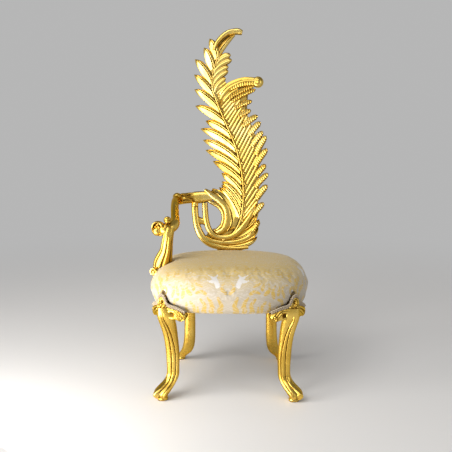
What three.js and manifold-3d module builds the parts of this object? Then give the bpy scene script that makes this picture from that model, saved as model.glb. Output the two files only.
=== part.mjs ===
// Carved and gilded throne with a palm plume for its back and one arm.
// Millimetres, +Z up, the front faces -Y, left and right are the viewer's.
import * as THREE from 'three';
import { mergeVertices } from 'three/addons/utils/BufferGeometryUtils.js';
import Module from 'manifold-3d';

// Seat
const seatWidth = 636;
const seatDepth = 570;
const seatBottom = 346;
const seatThickness = 174;
const seatSquareness = 2.6;
const clearance = 0.3;

// Front legs, set out from the corners of the seat
const padRadius = 20;
const padHeight = 13;
const legWidth = 47;
const kneeWidth = 60;
const legBow = 38;
const grooveDepth = 4;

// Knee blocks on the front corners
const kneeRise = 80;
const kneeDrop = 26;
const kneeReachFront = 112;
const kneeReachSide = 74;
const kneeProud = 13;
const kneeInset = 16;
const eyeRadius = 6;
const braidRadius = 4.5;

// Rear legs
const rearLegWidth = 45;
const rearSplay = 46;
const rearPadRadius = 17;

// Back plume: the carving below is drawn for a plume 980 high
const plumeHeight = 980;
const drawnHeight = 980;
const plumeRake = THREE.MathUtils.degToRad(5);
const plumeThickness = 32;
const leafWidth = 41;
const leafBow = 0.07;
const plumeSetback = 27;
const plumeSink = 20;
const vaneRecess = 14;
const footDrop = 72;
const footWidth = 150;
const ribPitch = 48;
const ribWidth = 34;
const ballRadius = 25;
const ballFlattening = 0.75;

// Arm
const armInset = 46;
const armFront = -60;
const armRise = 126;
const railWidth = 34;
const railHeight = 46;
const scrollRadius = 35;
const scrollWidth = 42;
const footScrollRadius = 17;
const armSink = 36;
const armJointX = -163;
const armJointHeight = 236;
const armJointTall = 54;
const armJointDeep = 32;

const gilding = new THREE.MeshStandardMaterial({ color: 0xd9a62e, metalness: 1, roughness: 0.32 });
const damask = new THREE.MeshStandardMaterial({ color: 0xd8c48c, metalness: 0, roughness: 0.7 });
const gimp = new THREE.MeshStandardMaterial({ color: 0x8f8172, metalness: 0, roughness: 0.85 });

const wasm = await Module();
wasm.setup();

const seatTop = seatBottom + seatThickness;
const plumeScale = plumeHeight / drawnHeight;
const vec = (x, y, z) => new THREE.Vector3(x, y, z);

// Smooth curve through [place, value] keys
function smooth(keys, place) {
  const last = keys.length - 1;
  const at = THREE.MathUtils.clamp(place, keys[0][0], keys[last][0]);
  let k = 0;
  while (k < last - 1 && at > keys[k + 1][0]) k++;
  const slope = (i) => {
    const a = keys[Math.max(i - 1, 0)];
    const b = keys[Math.min(i + 1, last)];
    return (b[1] - a[1]) / (b[0] - a[0]);
  };
  const span = keys[k + 1][0] - keys[k][0];
  const t = (at - keys[k][0]) / span;
  const rise = keys[k + 1][1] - keys[k][1];
  const bend = t * (1 - t) * ((1 - t) * (slope(k) * span - rise) - t * (slope(k + 1) * span - rise));
  return keys[k][1] + t * rise + bend;
}

function toSolid(geometry) {
  const bare = geometry.clone();
  bare.deleteAttribute('normal');
  bare.deleteAttribute('uv');
  const merged = mergeVertices(bare, 1e-4);
  const vertProperties = new Float32Array(merged.attributes.position.array);
  const triVerts = new Uint32Array(merged.index.array);
  return new wasm.Manifold(new wasm.Mesh({ numProp: 3, vertProperties, triVerts }));
}

function toMesh(name, solid, material) {
  const { vertProperties, triVerts } = solid.getMesh();
  const geometry = new THREE.BufferGeometry();
  geometry.setAttribute('position', new THREE.BufferAttribute(new Float32Array(vertProperties), 3));
  geometry.setIndex(new THREE.BufferAttribute(new Uint32Array(triVerts), 1));
  geometry.computeVertexNormals();
  const mesh = new THREE.Mesh(geometry, material);
  mesh.name = name;
  return mesh;
}

// Joins solids into one body; a sliver of air shut in between them is filled
function join(solids) {
  const whole = solids.reduce((sum, next) => sum.add(next));
  return whole.decompose().reduce((most, body) => (body.volume() > most.volume() ? body : most));
}

// Closed skin over rings of points, its faces turned outwards
function loft(rings) {
  const sides = rings[0].length;
  const middle = (ring) => ring.reduce((sum, p) => sum.add(p), vec(0, 0, 0)).divideScalar(sides);
  const points = [...rings.flat(), middle(rings[0]), middle(rings.at(-1))];
  const start = points.length - 2;
  const end = points.length - 1;
  const last = (rings.length - 1) * sides;
  const faces = [];
  for (let k = 0; k < sides; k++) {
    const next = (k + 1) % sides;
    for (let r = 0; r < last; r += sides) {
      faces.push([r + k, r + next, r + next + sides], [r + k, r + next + sides, r + k + sides]);
    }
    faces.push([next, k, start], [last + k, last + next, end]);
  }
  const volume = faces.reduce((sum, [a, b, c]) => sum + points[a].dot(vec(0, 0, 0).crossVectors(points[b], points[c])), 0);
  const index = faces.flatMap(([a, b, c]) => (volume > 0 ? [a, b, c] : [a, c, b]));
  const geometry = new THREE.BufferGeometry().setFromPoints(points);
  geometry.setIndex(index);
  return toSolid(geometry);
}

// Skin swept along a curve; section(u) gives [across, lift] pairs, lift is along 'up'
function sweep(curve, steps, up, section) {
  const rings = [];
  for (let k = 0; k <= steps; k++) {
    const u = k / steps;
    const point = curve.getPointAt(u);
    const across = vec(0, 0, 0).crossVectors(curve.getTangentAt(u), up).normalize();
    const lift = vec(0, 0, 0).crossVectors(across, curve.getTangentAt(u));
    rings.push(section(u).map(([a, l]) => point.clone().addScaledVector(across, a).addScaledVector(lift, l)));
  }
  return loft(rings);
}

const splineOf = (points) => new THREE.CatmullRomCurve3(points, false, 'centripetal');

function ball(radius, place, squash = vec(1, 1, 1)) {
  const geometry = new THREE.SphereGeometry(radius, 12, 7);
  geometry.scale(squash.x, squash.y, squash.z).translate(place.x, place.y, place.z);
  return toSolid(geometry);
}

// Scroll end: a turned disc with a raised eye on each face, its axis along X
function scroll(radius, width, place, turn = 0) {
  const rim = width / 2;
  const profile = [[0, -rim], [0.34, -rim], [0.46, -0.72 * rim], [0.8, -0.86 * rim], [1, -0.45 * rim],
    [1, 0.45 * rim], [0.8, 0.86 * rim], [0.46, 0.72 * rim], [0.34, rim], [0, rim]];
  const geometry = new THREE.LatheGeometry(profile.map(([r, y]) => new THREE.Vector2(r * radius, y)), 14);
  geometry.rotateZ(-Math.PI / 2).rotateZ(turn).translate(place.x, place.y, place.z);
  return toSolid(geometry);
}

// Plan of the seat, a rounded trapezoid, drawn in by 'inset'
function seatRing(inset, height, steps) {
  const ring = [];
  for (let k = 0; k < steps; k++) {
    const angle = (2 * Math.PI * k) / steps;
    const c = Math.cos(angle);
    const s = Math.sin(angle);
    const power = 2 / seatSquareness;
    const x = (seatWidth / 2 - inset) * Math.sign(c) * Math.abs(c) ** power;
    const y = (seatDepth / 2 - inset) * Math.sign(s) * Math.abs(s) ** power;
    ring.push(vec(x, y, height));
  }
  return ring;
}

const planCurve = new THREE.CatmullRomCurve3(seatRing(0, 0, 96), true, 'centripetal');
planCurve.arcLengthDivisions = 800;
const planLength = planCurve.getLength();

// Point on the seat's plan at an arc length from a corner, and the direction that faces out there
function planAt(corner, arc) {
  const u = (((corner + arc) / planLength) % 1 + 1) % 1;
  const tangent = planCurve.getTangentAt(u);
  return { point: planCurve.getPointAt(u), out: vec(tangent.y, -tangent.x, 0) };
}

// Arc length at which the plan faces a corner's diagonal, for the front left corner
function cornerArc() {
  let best = 0;
  let bestFacing = -1;
  for (let k = 0; k < 800; k++) {
    const { out } = planAt(0, (k / 800) * planLength);
    const facing = -(out.x + out.y);
    if (facing > bestFacing) {
      bestFacing = facing;
      best = (k / 800) * planLength;
    }
  }
  return best;
}

const frontLeft = cornerArc();
const corner = planAt(frontLeft, 0).point;

// Upholstered pad: domed top, full sides, drawn in under the rail
function seatBody() {
  const profile = [[0.0, 27], [0.04, 15], [0.18, 4], [0.38, 0], [0.54, 1], [0.66, 7], [0.77, 19], [0.86, 42],
    [0.93, 82], [0.975, 140], [1.0, 258]];
  return loft(profile.map(([share, inset]) => seatRing(inset, seatBottom + share * seatThickness, 44)));
}

// Rounded square leg section whose front and outer faces each carry two grooves beside a rib
function legSection(centre, width, depth, groove, sides = 16) {
  const ring = [];
  for (let k = 0; k < sides; k++) {
    const angle = (2 * Math.PI * k) / sides;
    const grooved = [2, 4, 12, 14].includes(k) ? groove : 0;
    const c = Math.cos(angle - Math.PI / 4);
    const s = Math.sin(angle - Math.PI / 4);
    const radius = 1 / (Math.abs(c) ** 3.2 + Math.abs(s) ** 3.2) ** (1 / 3.2);
    const out = (depth / 2) * radius * Math.cos(angle) - grooved * Math.cos(angle);
    const side = (width / 2) * radius * Math.sin(angle) - grooved * Math.sin(angle);
    const x = (-out - side) * Math.SQRT1_2;
    const y = (-out + side) * Math.SQRT1_2;
    ring.push(centre.clone().add(vec(x, y, 0)));
  }
  return ring;
}

// Front left leg: an S in the diagonal of the seat's corner; grow thickens it for cutting its pocket
function frontLegShaft(grow) {
  const lean = [[0, 2], [0.06, 8], [0.1, 4], [0.14, -5], [0.21, -22], [0.28, -legBow + 2], [0.36, -legBow - 1], [0.5, -legBow],
    [0.68, -legBow + 5], [0.84, -legBow + 14], [0.97, -legBow + 26], [1.1, -legBow + 30]];
  const width = [[0, 42], [0.04, 40], [0.08, 49], [0.13, 51], [0.2, 45], [0.3, 42], [0.45, legWidth - 2], [0.7, legWidth],
    [0.86, kneeWidth - 6], [1, kneeWidth], [1.12, kneeWidth - 14]];
  const shares = [padHeight / seatBottom, 0.065, 0.1, 0.14, 0.19, 0.25, 0.32, 0.45, 0.6, 0.78, 0.93, 1.1];
  const rings = shares.map((share) => {
    const offset = smooth(lean, share);
    const centre = vec(corner.x - offset, corner.y - 12 - offset, share * seatBottom);
    const size = smooth(width, share) + 2 * grow;
    const groove = grooveDepth * smooth([[0.1, 0], [0.2, 1], [0.85, 1], [0.98, 0]], share);
    return legSection(centre, size, size * smooth([[0, 1], [0.1, 1.22], [0.2, 1.05], [1, 1]], share), groove);
  });
  return loft(rings);
}

function pad(radius, place) {
  const profile = [[0, 0], [radius, 0], [radius * 1.04, padHeight * 0.5], [radius * 0.9, padHeight + 3], [0, padHeight + 3]];
  const geometry = new THREE.LatheGeometry(profile.map(([r, h]) => new THREE.Vector2(r, h)), 16);
  geometry.rotateX(Math.PI / 2).translate(place.x, place.y, 0);
  return toSolid(geometry);
}

// Height of a knee block's top outline, by share of its reach from the corner
const kneeTop = (share) => seatBottom + kneeRise * smooth([[0, 1], [0.13, 0.9], [0.24, 0.52], [0.36, 0.41], [0.6, 0.35],
  [0.85, 0.2], [1, 0.08]], Math.abs(share));
const kneeFoot = (share) => seatBottom - kneeDrop * smooth([[0, 1.1], [0.4, 0.9], [0.62, 0.85], [0.8, 1], [0.93, 0.7], [1, 0.2]],
  Math.abs(share));
const kneeArc = (share) => share * (share > 0 ? kneeReachFront : kneeReachSide);

// Front left knee block: wraps round the corner of the seat, along the front and back along the side
function kneeBlock(grow) {
  const rings = [];
  const steps = 18;
  for (let k = 0; k <= steps; k++) {
    const share = -1 + (2 * k) / steps;
    const { point, out } = planAt(frontLeft, kneeArc(share) + Math.sign(share) * grow * Math.abs(share));
    const top = kneeTop(share) + grow;
    const foot = kneeFoot(share) - grow;
    const proud = kneeProud * smooth([[0, 1.35], [0.3, 0.8], [0.7, 0.62], [0.85, 0.8], [1, 0.35]], Math.abs(share)) + grow;
    const inner = -kneeInset - grow;
    const tall = top - foot;
    const outline = [[inner, foot], [inner, top], [2 + grow, top], [proud * 0.7, top - 0.12 * tall], [proud, foot + 0.52 * tall],
      [proud * 0.8, foot + 0.2 * tall], [2, foot]];
    rings.push(outline.map(([o, z]) => point.clone().addScaledVector(out, o).setZ(z)));
  }
  return loft(rings);
}

// Scroll buttons that end the knee block's wings
function kneeScrolls() {
  return [0.82, -0.8].map((share) => {
    const { point, out } = planAt(frontLeft, kneeArc(share));
    return ball(share > 0 ? 12 : 9, point.clone().addScaledVector(out, 2).setZ(kneeFoot(share) + 9));
  });
}

function drilledEye() {
  const { point, out } = planAt(frontLeft, 0);
  return ball(eyeRadius, point.clone().addScaledVector(out, kneeProud + 3).setZ(seatBottom + 0.66 * kneeRise));
}

function frontLeg() {
  const pads = pad(padRadius, vec(corner.x - 2, corner.y - 14, 0));
  return join([frontLegShaft(0), kneeBlock(0), ...kneeScrolls(), pads]).subtract(drilledEye());
}

// Woven trim along the top outline of the knee block
function braid(grow) {
  const points = [];
  const steps = 18;
  for (let k = 0; k <= steps; k++) {
    const share = (-1 + (2 * k) / steps) * 0.96;
    const { point, out } = planAt(frontLeft, kneeArc(share));
    points.push(point.clone().addScaledVector(out, 3).setZ(kneeTop(share) + braidRadius - 1));
  }
  const outward = vec(-Math.SQRT1_2, -Math.SQRT1_2, 0);
  const round = Array.from({ length: 6 }, (_, k) => (2 * Math.PI * k) / 6);
  const radius = braidRadius + grow;
  return sweep(splineOf(points), 22, outward, () => round.map((a) => [radius * Math.cos(a), radius * Math.sin(a)]));
}

// Rear left leg: plain sabre leg, square, swept back and out
function rearLeg() {
  const out = [[0, 1], [0.08, 0.84], [0.17, 0.52], [0.28, 0.2], [0.45, 0.02], [0.75, 0], [1, 0.06]];
  const width = [[0, 33], [0.05, 34], [0.14, 36], [0.35, rearLegWidth], [0.7, rearLegWidth], [0.9, rearLegWidth + 8],
    [1, rearLegWidth + 16]];
  const rings = [padHeight / seatBottom, 0.08, 0.15, 0.23, 0.34, 0.5, 0.75, 1].map((share) => {
    const swing = rearSplay * smooth(out, share);
    const top = share * (seatBottom - clearance);
    const centre = vec(-seatWidth * 0.285 - swing * 0.95, seatDepth * 0.4 + swing, top);
    return legSection(centre, smooth(width, share), smooth(width, share), 0, 12);
  });
  const place = vec(-seatWidth * 0.285 - rearSplay * 0.95, seatDepth * 0.4 + rearSplay, 0);
  return join([loft(rings), pad(rearPadRadius, place)]);
}

// Back plume, drawn upright in the XZ plane: x across, s up, front ridges on y 0
const onPlume = (x, s, lift = 0) => vec(x * plumeScale, -lift, s * plumeScale);
const toViewer = vec(0, -1, 0);
const plumeFoot = vec(0, seatDepth / 2 - plumeSetback, seatTop - plumeSink);
const placePlume = new THREE.Matrix4().makeRotationX(-plumeRake).setPosition(plumeFoot);

// Rachis: [height, x] keys
const rachis = [[49, -37], [76, 7], [130, 38], [192, 51], [280, 53], [325, 49], [402, 35], [470, 15], [550, -19],
  [639, -57], [719, -84], [774, -84], [843, -65]];
// Outer edge of the ribbed right vane: [height, x] keys
const vaneEdge = [[19, 74], [60, 98], [110, 108], [170, 110], [240, 124], [340, 124], [440, 120], [500, 110],
  [550, 98], [590, 82], [625, 70], [660, 68], [695, 82], [715, 88], [735, 60], [750, 10], [765, -40]];

// Sections of width w, set back from the front plane; the whole plume has one flat back
const ridged = (w, back) => [[-0.5 * w, -back - 10], [-0.06 * w, -back], [0.5 * w, -back - 8],
  [0.38 * w, -plumeThickness], [-0.38 * w, -plumeThickness]];
const rounded = (w, back) => [[-0.5 * w, -back - 13], [-0.2 * w, -back], [0.2 * w, -back], [0.5 * w, -back - 13],
  [0.4 * w, -plumeThickness], [-0.4 * w, -plumeThickness]];

// One leaflet: rises from its foot at a lean from upright, bowed, ridged and drawn to a point
function leaflet({ x, s, length, lean, width, bow }) {
  const angle = THREE.MathUtils.degToRad(lean);
  const along = (d, side) => onPlume(x + d * Math.sin(angle) + side * Math.cos(angle),
    s + d * Math.cos(angle) - side * Math.sin(angle));
  const points = [-0.06, 0.2, 0.45, 0.7, 0.88, 1].map((u) => along(u * length, bow * length * 4 * u * (u - 1)));
  const widths = [[0, 0.62], [0.25, 0.92], [0.55, 1], [0.8, 0.74], [0.93, 0.42], [1, 0.1]];
  return sweep(splineOf(points), 6, toViewer, (u) => ridged(width * smooth(widths, u), 2 + 6 * u * u));
}

// Left leaflets: [height on the rachis, length, lean to the left]
const leftLeaflets = [[843, 96, 19], [787, 115, 20], [735, 132, 34], [668, 145, 41], [618, 148, 50], [560, 157, 59],
  [504, 134, 58], [446, 184, 59], [390, 191, 58], [346, 188, 57.6], [298, 166, 53], [245, 139, 43.5], [201, 142, 41],
  [165, 156, 35], [139, 172, 33]];
// Upper right leaflets: [height on the rachis, length, lean to the right, width]
const rightLeaflets = [[800, 84, 40, 24], [772, 104, 49, 26], [735, 98, 50, 28], [700, 82, 50, 28]];
// Short leaflets along the right edge: [x, height, length, lean to the right]
const edgeLeaflets = [[-1, 687, 98, 61], [30, 656, 94, 54], [37, 635, 66, 65], [50, 582, 51, 43], [70, 552, 70, 40],
  [94, 477, 98, 27], [114, 435, 87, 27], [112, 383, 87, 34], [118, 340, 57, 40], [114, 289, 76, 43], [122, 238, 66, 37],
  [107, 167, 61, 40], [105, 94, 47, 27]];

function vanes() {
  const left = leftLeaflets.map(([s, length, lean]) => leaflet({
    x: smooth(rachis, s), s, length, lean: -lean, width: leafWidth, bow: -leafBow,
  }));
  const right = rightLeaflets.map(([s, length, lean, width]) => leaflet({
    x: smooth(rachis, s), s, length, lean, width: width + 4, bow: 0.06,
  }));
  const edge = edgeLeaflets.map(([x, s, length, lean]) => leaflet({
    x, s, length, lean, width: 28, bow: 0.03,
  }));
  return [...left, ...right, ...edge];
}

// Ribs of the right vane, from the rachis up to the vane's edge
function vaneRibs() {
  const ribs = [];
  for (let s = 96; s < 680; s += ribPitch) {
    const lean = THREE.MathUtils.degToRad(smooth([[96, 38], [300, 27], [520, 30], [620, 42], [700, 52]], s));
    const x = smooth(rachis, s);
    let length = 20;
    while (x + length * Math.sin(lean) < smooth(vaneEdge, s + length * Math.cos(lean)) - 6) length += 2;
    const points = [0, 0.5, 1].map((u) => onPlume(x + u * length * Math.sin(lean), s + u * length * Math.cos(lean)));
    ribs.push(sweep(splineOf(points), 2, toViewer, (u) => ridged(ribWidth * (1 - 0.25 * u), 6)));
  }
  return ribs;
}

// Plate from the flat back up to 'recess' behind the front plane
function plate(shape, recess) {
  const geometry = new THREE.ExtrudeGeometry(shape, { depth: plumeThickness - recess, bevelEnabled: false });
  geometry.rotateX(Math.PI / 2).translate(0, plumeThickness, 0);
  return toSolid(geometry);
}

function vanePlate() {
  const shape = new THREE.Shape();
  const bottom = 60;
  const top = 728;
  const steps = 18;
  for (let k = 0; k <= steps; k++) {
    const s = bottom + ((top - bottom) * k) / steps;
    const point = [smooth(vaneEdge, s) * plumeScale, s * plumeScale];
    if (k === 0) shape.moveTo(...point);
    else shape.lineTo(...point);
  }
  for (let k = steps; k >= 0; k--) {
    const s = bottom + ((top - bottom) * k) / steps;
    shape.lineTo(smooth(rachis, s) * plumeScale, s * plumeScale);
  }
  return plate(shape, vaneRecess);
}

// Moulded band through points of the plume, its width following [share, width] keys
function band(points, widths, back = 0, steps = 10) {
  const curve = splineOf(points.map(([x, s]) => onPlume(x, s)));
  return sweep(curve, steps, toViewer, (u) => rounded(smooth(widths, u), back));
}

function stem() {
  const points = rachis.map(([s, x]) => [x, s]);
  return band(points, [[0, 20], [0.2, 17], [0.6, 13], [1, 9]], -3, 14);
}

// Scroll at the foot: bands from the arm's joint sweep round the oval opening and up into the vane
function footScroll() {
  return [
    band([[-161, 208], [-157, 150], [-147, 100], [-124, 58], [-88, 30], [-37, 16], [25, 12], [78, 17]],
      [[0, 22], [0.2, 21], [0.38, 30], [0.7, 26], [1, 16]], 0, 14),
    band([[-124, 62], [-80, 43], [-24, 36], [34, 42], [83, 66], [110, 112]],
      [[0, 22], [0.3, 28], [0.8, 28], [1, 14]], 2),
    band([[-116, 214], [-113, 164], [-108, 129], [-97, 96], [-75, 70], [-37, 59], [7, 66], [43, 94], [69, 130], [92, 172]],
      [[0, 16], [0.35, 18], [0.55, 28], [0.8, 32], [1, 14]], -2, 14),
    band([[-116, 272], [-104, 264], [-82, 246], [-51, 224], [-24, 196], [-13, 160], [-17, 123], [-35, 94], [-62, 80]],
      [[0, 14], [0.18, 32], [0.45, 36], [0.75, 38], [1, 26]], -3, 12),
    band([[-84, 272], [-50, 254], [-16, 214], [6, 168], [8, 122], [-10, 86]], [[0, 18], [0.3, 38], [0.7, 42], [1, 30]], 1, 8),
    band([[-104, 226], [-81, 213], [-55, 198], [-37, 174], [-33, 143], [-41, 114], [-62, 92]],
      [[0, 16], [0.3, 20], [0.7, 18], [1, 18]], 5, 8),
    band([[armJointX + clearance, armJointHeight], [-140, 238], [-108, 240], [-84, 240]],
      [[0, armJointTall], [0.5, 52], [1, 40]], 0, 4),
    band([[-152, 134], [-104, 130]], [[0, 18], [1, 18]], 5, 2),
  ];
}

// Web that backs the bands where they run together under the opening
function scrollWeb() {
  const outline = [[-112, 66], [-60, 28], [30, 14], [76, 22], [104, 90], [60, 150], [10, 96], [-30, 74], [-70, 76], [-98, 88]];
  const shape = new THREE.Shape(outline.map(([x, s]) => new THREE.Vector2(x * plumeScale, s * plumeScale)));
  return plate(shape, vaneRecess);
}

// Curl above the right vane, ending in a ball
function upperCurl() {
  return [
    band([[-62, 690], [-39, 708], [-12, 726], [20, 739], [54, 748], [84, 752], [108, 746]],
      [[0, 24], [0.4, 40], [0.7, 44], [1, 34]], 0, 8),
    ball(ballRadius, onPlume(117, 745, -plumeThickness / 2), vec(1, ballFlattening, 1)),
  ];
}

// Hooked tip: two leaflets side by side that end in a squared beak
function hook() {
  return [
    band([[-70, 838], [-64, 872], [-50, 902], [-28, 926], [0, 948], [14, 958]],
      [[0, 16], [0.3, 26], [0.7, 26], [1, 22]], 0, 8),
    band([[-74, 868], [-72, 904], [-50, 930], [-24, 950], [2, 966], [14, 968]],
      [[0, 12], [0.4, 20], [1, 22]], 3, 8),
    band([[-10, 956], [10, 964], [28, 966], [47, 962]], [[0, 26], [0.3, 36], [0.8, 27], [1, 16]], -2, 5),
  ];
}

function plumeTenon() {
  const half = footWidth / 2;
  const shape = new THREE.Shape();
  shape.moveTo(-half + 14, -footDrop);
  shape.lineTo(half - 26, -footDrop);
  shape.lineTo(half - 14, 22);
  shape.lineTo(-half - 6, 22);
  return plate(shape, 9);
}

function backPlume() {
  const flat = join([stem(), vanePlate(), ...vaneRibs(), ...vanes(), ...footScroll(), scrollWeb(), ...upperCurl(), ...hook(), plumeTenon()]);
  return flat.transform(placePlume.elements);
}

// Arm: the support rises from the seat's side to the hand scroll, the rail runs back and turns in to the plume
const armX = -(seatWidth / 2 - armInset);
const jointCentre = onPlume(armJointX, armJointHeight, -plumeThickness / 2).applyMatrix4(placePlume);
const handHeight = seatTop + armRise;

const oval = (wide, tall, sides = 10) => Array.from({ length: sides }, (_, k) => {
  const a = (2 * Math.PI * (k + 0.5)) / sides;
  return [(wide / 2) * Math.cos(a), (tall / 2) * Math.sin(a)];
});

function armSupport() {
  const points = [[-6, armSink * -1 - 10], [-4, -armSink], [0, -12], [10, 16], [22, 46], [30, 78], [38, 108], [44, armRise + 12]];
  const curve = splineOf(points.map(([x, z], k) => vec(armX + x, armFront + 12 * Math.sin(k * 0.8), seatTop - 10 + z)));
  const wide = [[0, 66], [0.2, 72], [0.32, 66], [0.5, 47], [0.75, 40], [1, 32]];
  const deep = [[0, 58], [0.3, 56], [0.6, 44], [1, 40]];
  return sweep(curve, 10, vec(0, 1, 0), (u) => oval(smooth(wide, u), smooth(deep, u)));
}

function armRail() {
  const points = [
    vec(armX - 2, armFront - 2, handHeight),
    vec(armX + 30, armFront + 4, handHeight - 2),
    vec(armX + 52, armFront + 34, handHeight + 12),
    vec(armX + 48, armFront + 90, handHeight + 40),
    vec(armX + 40, armFront + 170, handHeight + 70),
    vec(armX + 34, jointCentre.y - 62, handHeight + 80),
    vec(armX + 44, jointCentre.y - 22, jointCentre.z - 6),
    vec(armX + 76, jointCentre.y - 4, jointCentre.z - 2),
    vec(jointCentre.x - clearance, jointCentre.y, jointCentre.z),
  ];
  const wide = [[0, 26], [0.12, 36], [0.3, railWidth], [0.7, railWidth], [0.86, railWidth + 4], [1, armJointDeep]];
  const tall = [[0, 30], [0.12, 44], [0.3, railHeight - 6], [0.6, railHeight - 4], [0.8, railHeight], [1, armJointTall - 4]];
  return sweep(splineOf(points), 18, vec(0, 0, 1), (u) => oval(smooth(wide, u), smooth(tall, u)));
}

function arm() {
  const hand = vec(armX - 10, armFront - 4, handHeight);
  const footEnd = vec(armX - 27, armFront - 4, seatTop - 48);
  return join([
    armSupport(),
    armRail(),
    scroll(scrollRadius, scrollWidth, hand, 0.25),
    ball(15, vec(armX + 27, armFront - 4, handHeight + 34)),
    scroll(footScrollRadius, 26, footEnd, 0.2),
  ]).trimByPlane([-1, 0, 0], -jointCentre.x + clearance);
}

const mirror = (solid) => solid.mirror([1, 0, 0]);

const leftLeg = frontLeg();
const leftBraid = braid(0).subtract(join([kneeBlock(clearance), frontLegShaft(clearance)]));
const legPockets = join([kneeBlock(clearance), frontLegShaft(clearance), braid(clearance)]);
const plume = backPlume();

// A solid thickened by the clearance on every side, for cutting a neighbour back from it
function loosened(solid) {
  const steps = [[1, 0, 0], [-1, 0, 0], [0, 1, 0], [0, -1, 0], [0, 0, 1], [0, 0, -1]];
  return join(steps.map((step) => solid.translate(step.map((n) => n * clearance))));
}

const loosePlume = loosened(plume);
const armSolid = join([arm().subtract(loosePlume)]);

const seat = seatBody()
  .subtract(legPockets)
  .subtract(mirror(legPockets))
  .subtract(loosePlume)
  .subtract(loosened(armSolid));

const pieces = [
  ['leg_front_left', leftLeg, gilding],
  ['leg_front_right', mirror(leftLeg), gilding],
  ['leg_rear_left', rearLeg(), gilding],
  ['leg_rear_right', mirror(rearLeg()), gilding],
  ['seat', seat, damask],
  ['braid_left', leftBraid, gimp],
  ['braid_right', mirror(leftBraid), gimp],
  ['arm', armSolid, gilding],
  ['back_plume', plume, gilding],
];

const throne = new THREE.Group();
for (const [name, solid, material] of pieces) throne.add(toMesh(name, solid, material));

// The origin lies on the floor under the middle of the whole
const box = new THREE.Box3().setFromObject(throne);
throne.position.set(-(box.min.x + box.max.x) / 2, -(box.min.y + box.max.y) / 2, -box.min.z);

export default throne;
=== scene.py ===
import math

import bpy
import numpy as np
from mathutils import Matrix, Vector


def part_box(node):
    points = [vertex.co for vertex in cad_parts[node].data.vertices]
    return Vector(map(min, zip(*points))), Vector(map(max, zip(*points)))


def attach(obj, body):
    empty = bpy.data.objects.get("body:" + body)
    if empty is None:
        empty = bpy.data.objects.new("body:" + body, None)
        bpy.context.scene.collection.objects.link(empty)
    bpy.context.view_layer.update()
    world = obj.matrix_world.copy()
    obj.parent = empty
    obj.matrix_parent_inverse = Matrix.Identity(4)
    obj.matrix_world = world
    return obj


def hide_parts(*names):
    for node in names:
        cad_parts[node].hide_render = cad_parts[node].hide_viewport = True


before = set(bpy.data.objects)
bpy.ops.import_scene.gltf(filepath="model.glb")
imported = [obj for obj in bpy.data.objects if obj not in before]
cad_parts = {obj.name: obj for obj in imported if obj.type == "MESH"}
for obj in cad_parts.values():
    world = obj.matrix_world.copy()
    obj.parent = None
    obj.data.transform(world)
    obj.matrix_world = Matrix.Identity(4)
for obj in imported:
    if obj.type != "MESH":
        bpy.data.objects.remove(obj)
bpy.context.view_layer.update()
bpy.ops.object.select_all(action="DESELECT")
print("frame loaded")

unit = 0.001  # shapes below are drawn in millimetres
body = "root"
seatLow, seatHigh = [np.array(corner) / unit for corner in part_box("seat")]
seatWide = seatHigh[0] - seatLow[0]
seatDeep = 570.0
seatFront, seatFoot, seatCrown = seatLow[1], seatLow[2], seatHigh[2]
seatY = seatFront + seatDeep / 2  # plan centre of the seat


# Curves and shells: every carved form is a skin over rings of points

def smoothKeys(keys, place):  # smooth curve through (place, value) keys
    last = len(keys) - 1
    at = min(max(place, keys[0][0]), keys[last][0])
    k = 0
    while k < last - 1 and at > keys[k + 1][0]:
        k += 1

    def slope(i):
        a, b = keys[max(i - 1, 0)], keys[min(i + 1, last)]
        return (b[1] - a[1]) / (b[0] - a[0])

    span = keys[k + 1][0] - keys[k][0]
    t = (at - keys[k][0]) / span
    rise = keys[k + 1][1] - keys[k][1]
    bend = t * (1 - t) * ((1 - t) * (slope(k) * span - rise) - t * (slope(k + 1) * span - rise))
    return keys[k][1] + t * rise + bend


def splinePoints(points, steps):  # even steps along a rounded line through the points
    p = np.array(points, float)
    p = np.vstack([2 * p[0] - p[1], p, 2 * p[-1] - p[-2]])
    dense = []
    for k in range(1, len(p) - 2):
        a, b, c, d = p[k - 1], p[k], p[k + 1], p[k + 2]
        t0 = 0.0
        t1 = t0 + np.linalg.norm(b - a) ** 0.5
        t2 = t1 + np.linalg.norm(c - b) ** 0.5
        t3 = t2 + np.linalg.norm(d - c) ** 0.5
        for t in np.linspace(t1, t2, 24, endpoint=False):
            a1 = a * (t1 - t) / (t1 - t0) + b * (t - t0) / (t1 - t0)
            a2 = b * (t2 - t) / (t2 - t1) + c * (t - t1) / (t2 - t1)
            a3 = c * (t3 - t) / (t3 - t2) + d * (t - t2) / (t3 - t2)
            b1 = a1 * (t2 - t) / (t2 - t0) + a2 * (t - t0) / (t2 - t0)
            b2 = a2 * (t3 - t) / (t3 - t1) + a3 * (t - t1) / (t3 - t1)
            dense.append(b1 * (t2 - t) / (t2 - t1) + b2 * (t - t1) / (t2 - t1))
    dense.append(p[-2])
    dense = np.array(dense)
    run = np.concatenate([[0], np.cumsum(np.linalg.norm(np.diff(dense, axis=0), axis=1))])
    even = np.linspace(0, run[-1], steps + 1)
    return np.stack([np.interp(even, run, dense[:, i]) for i in range(3)], axis=1), run[-1]


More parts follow.
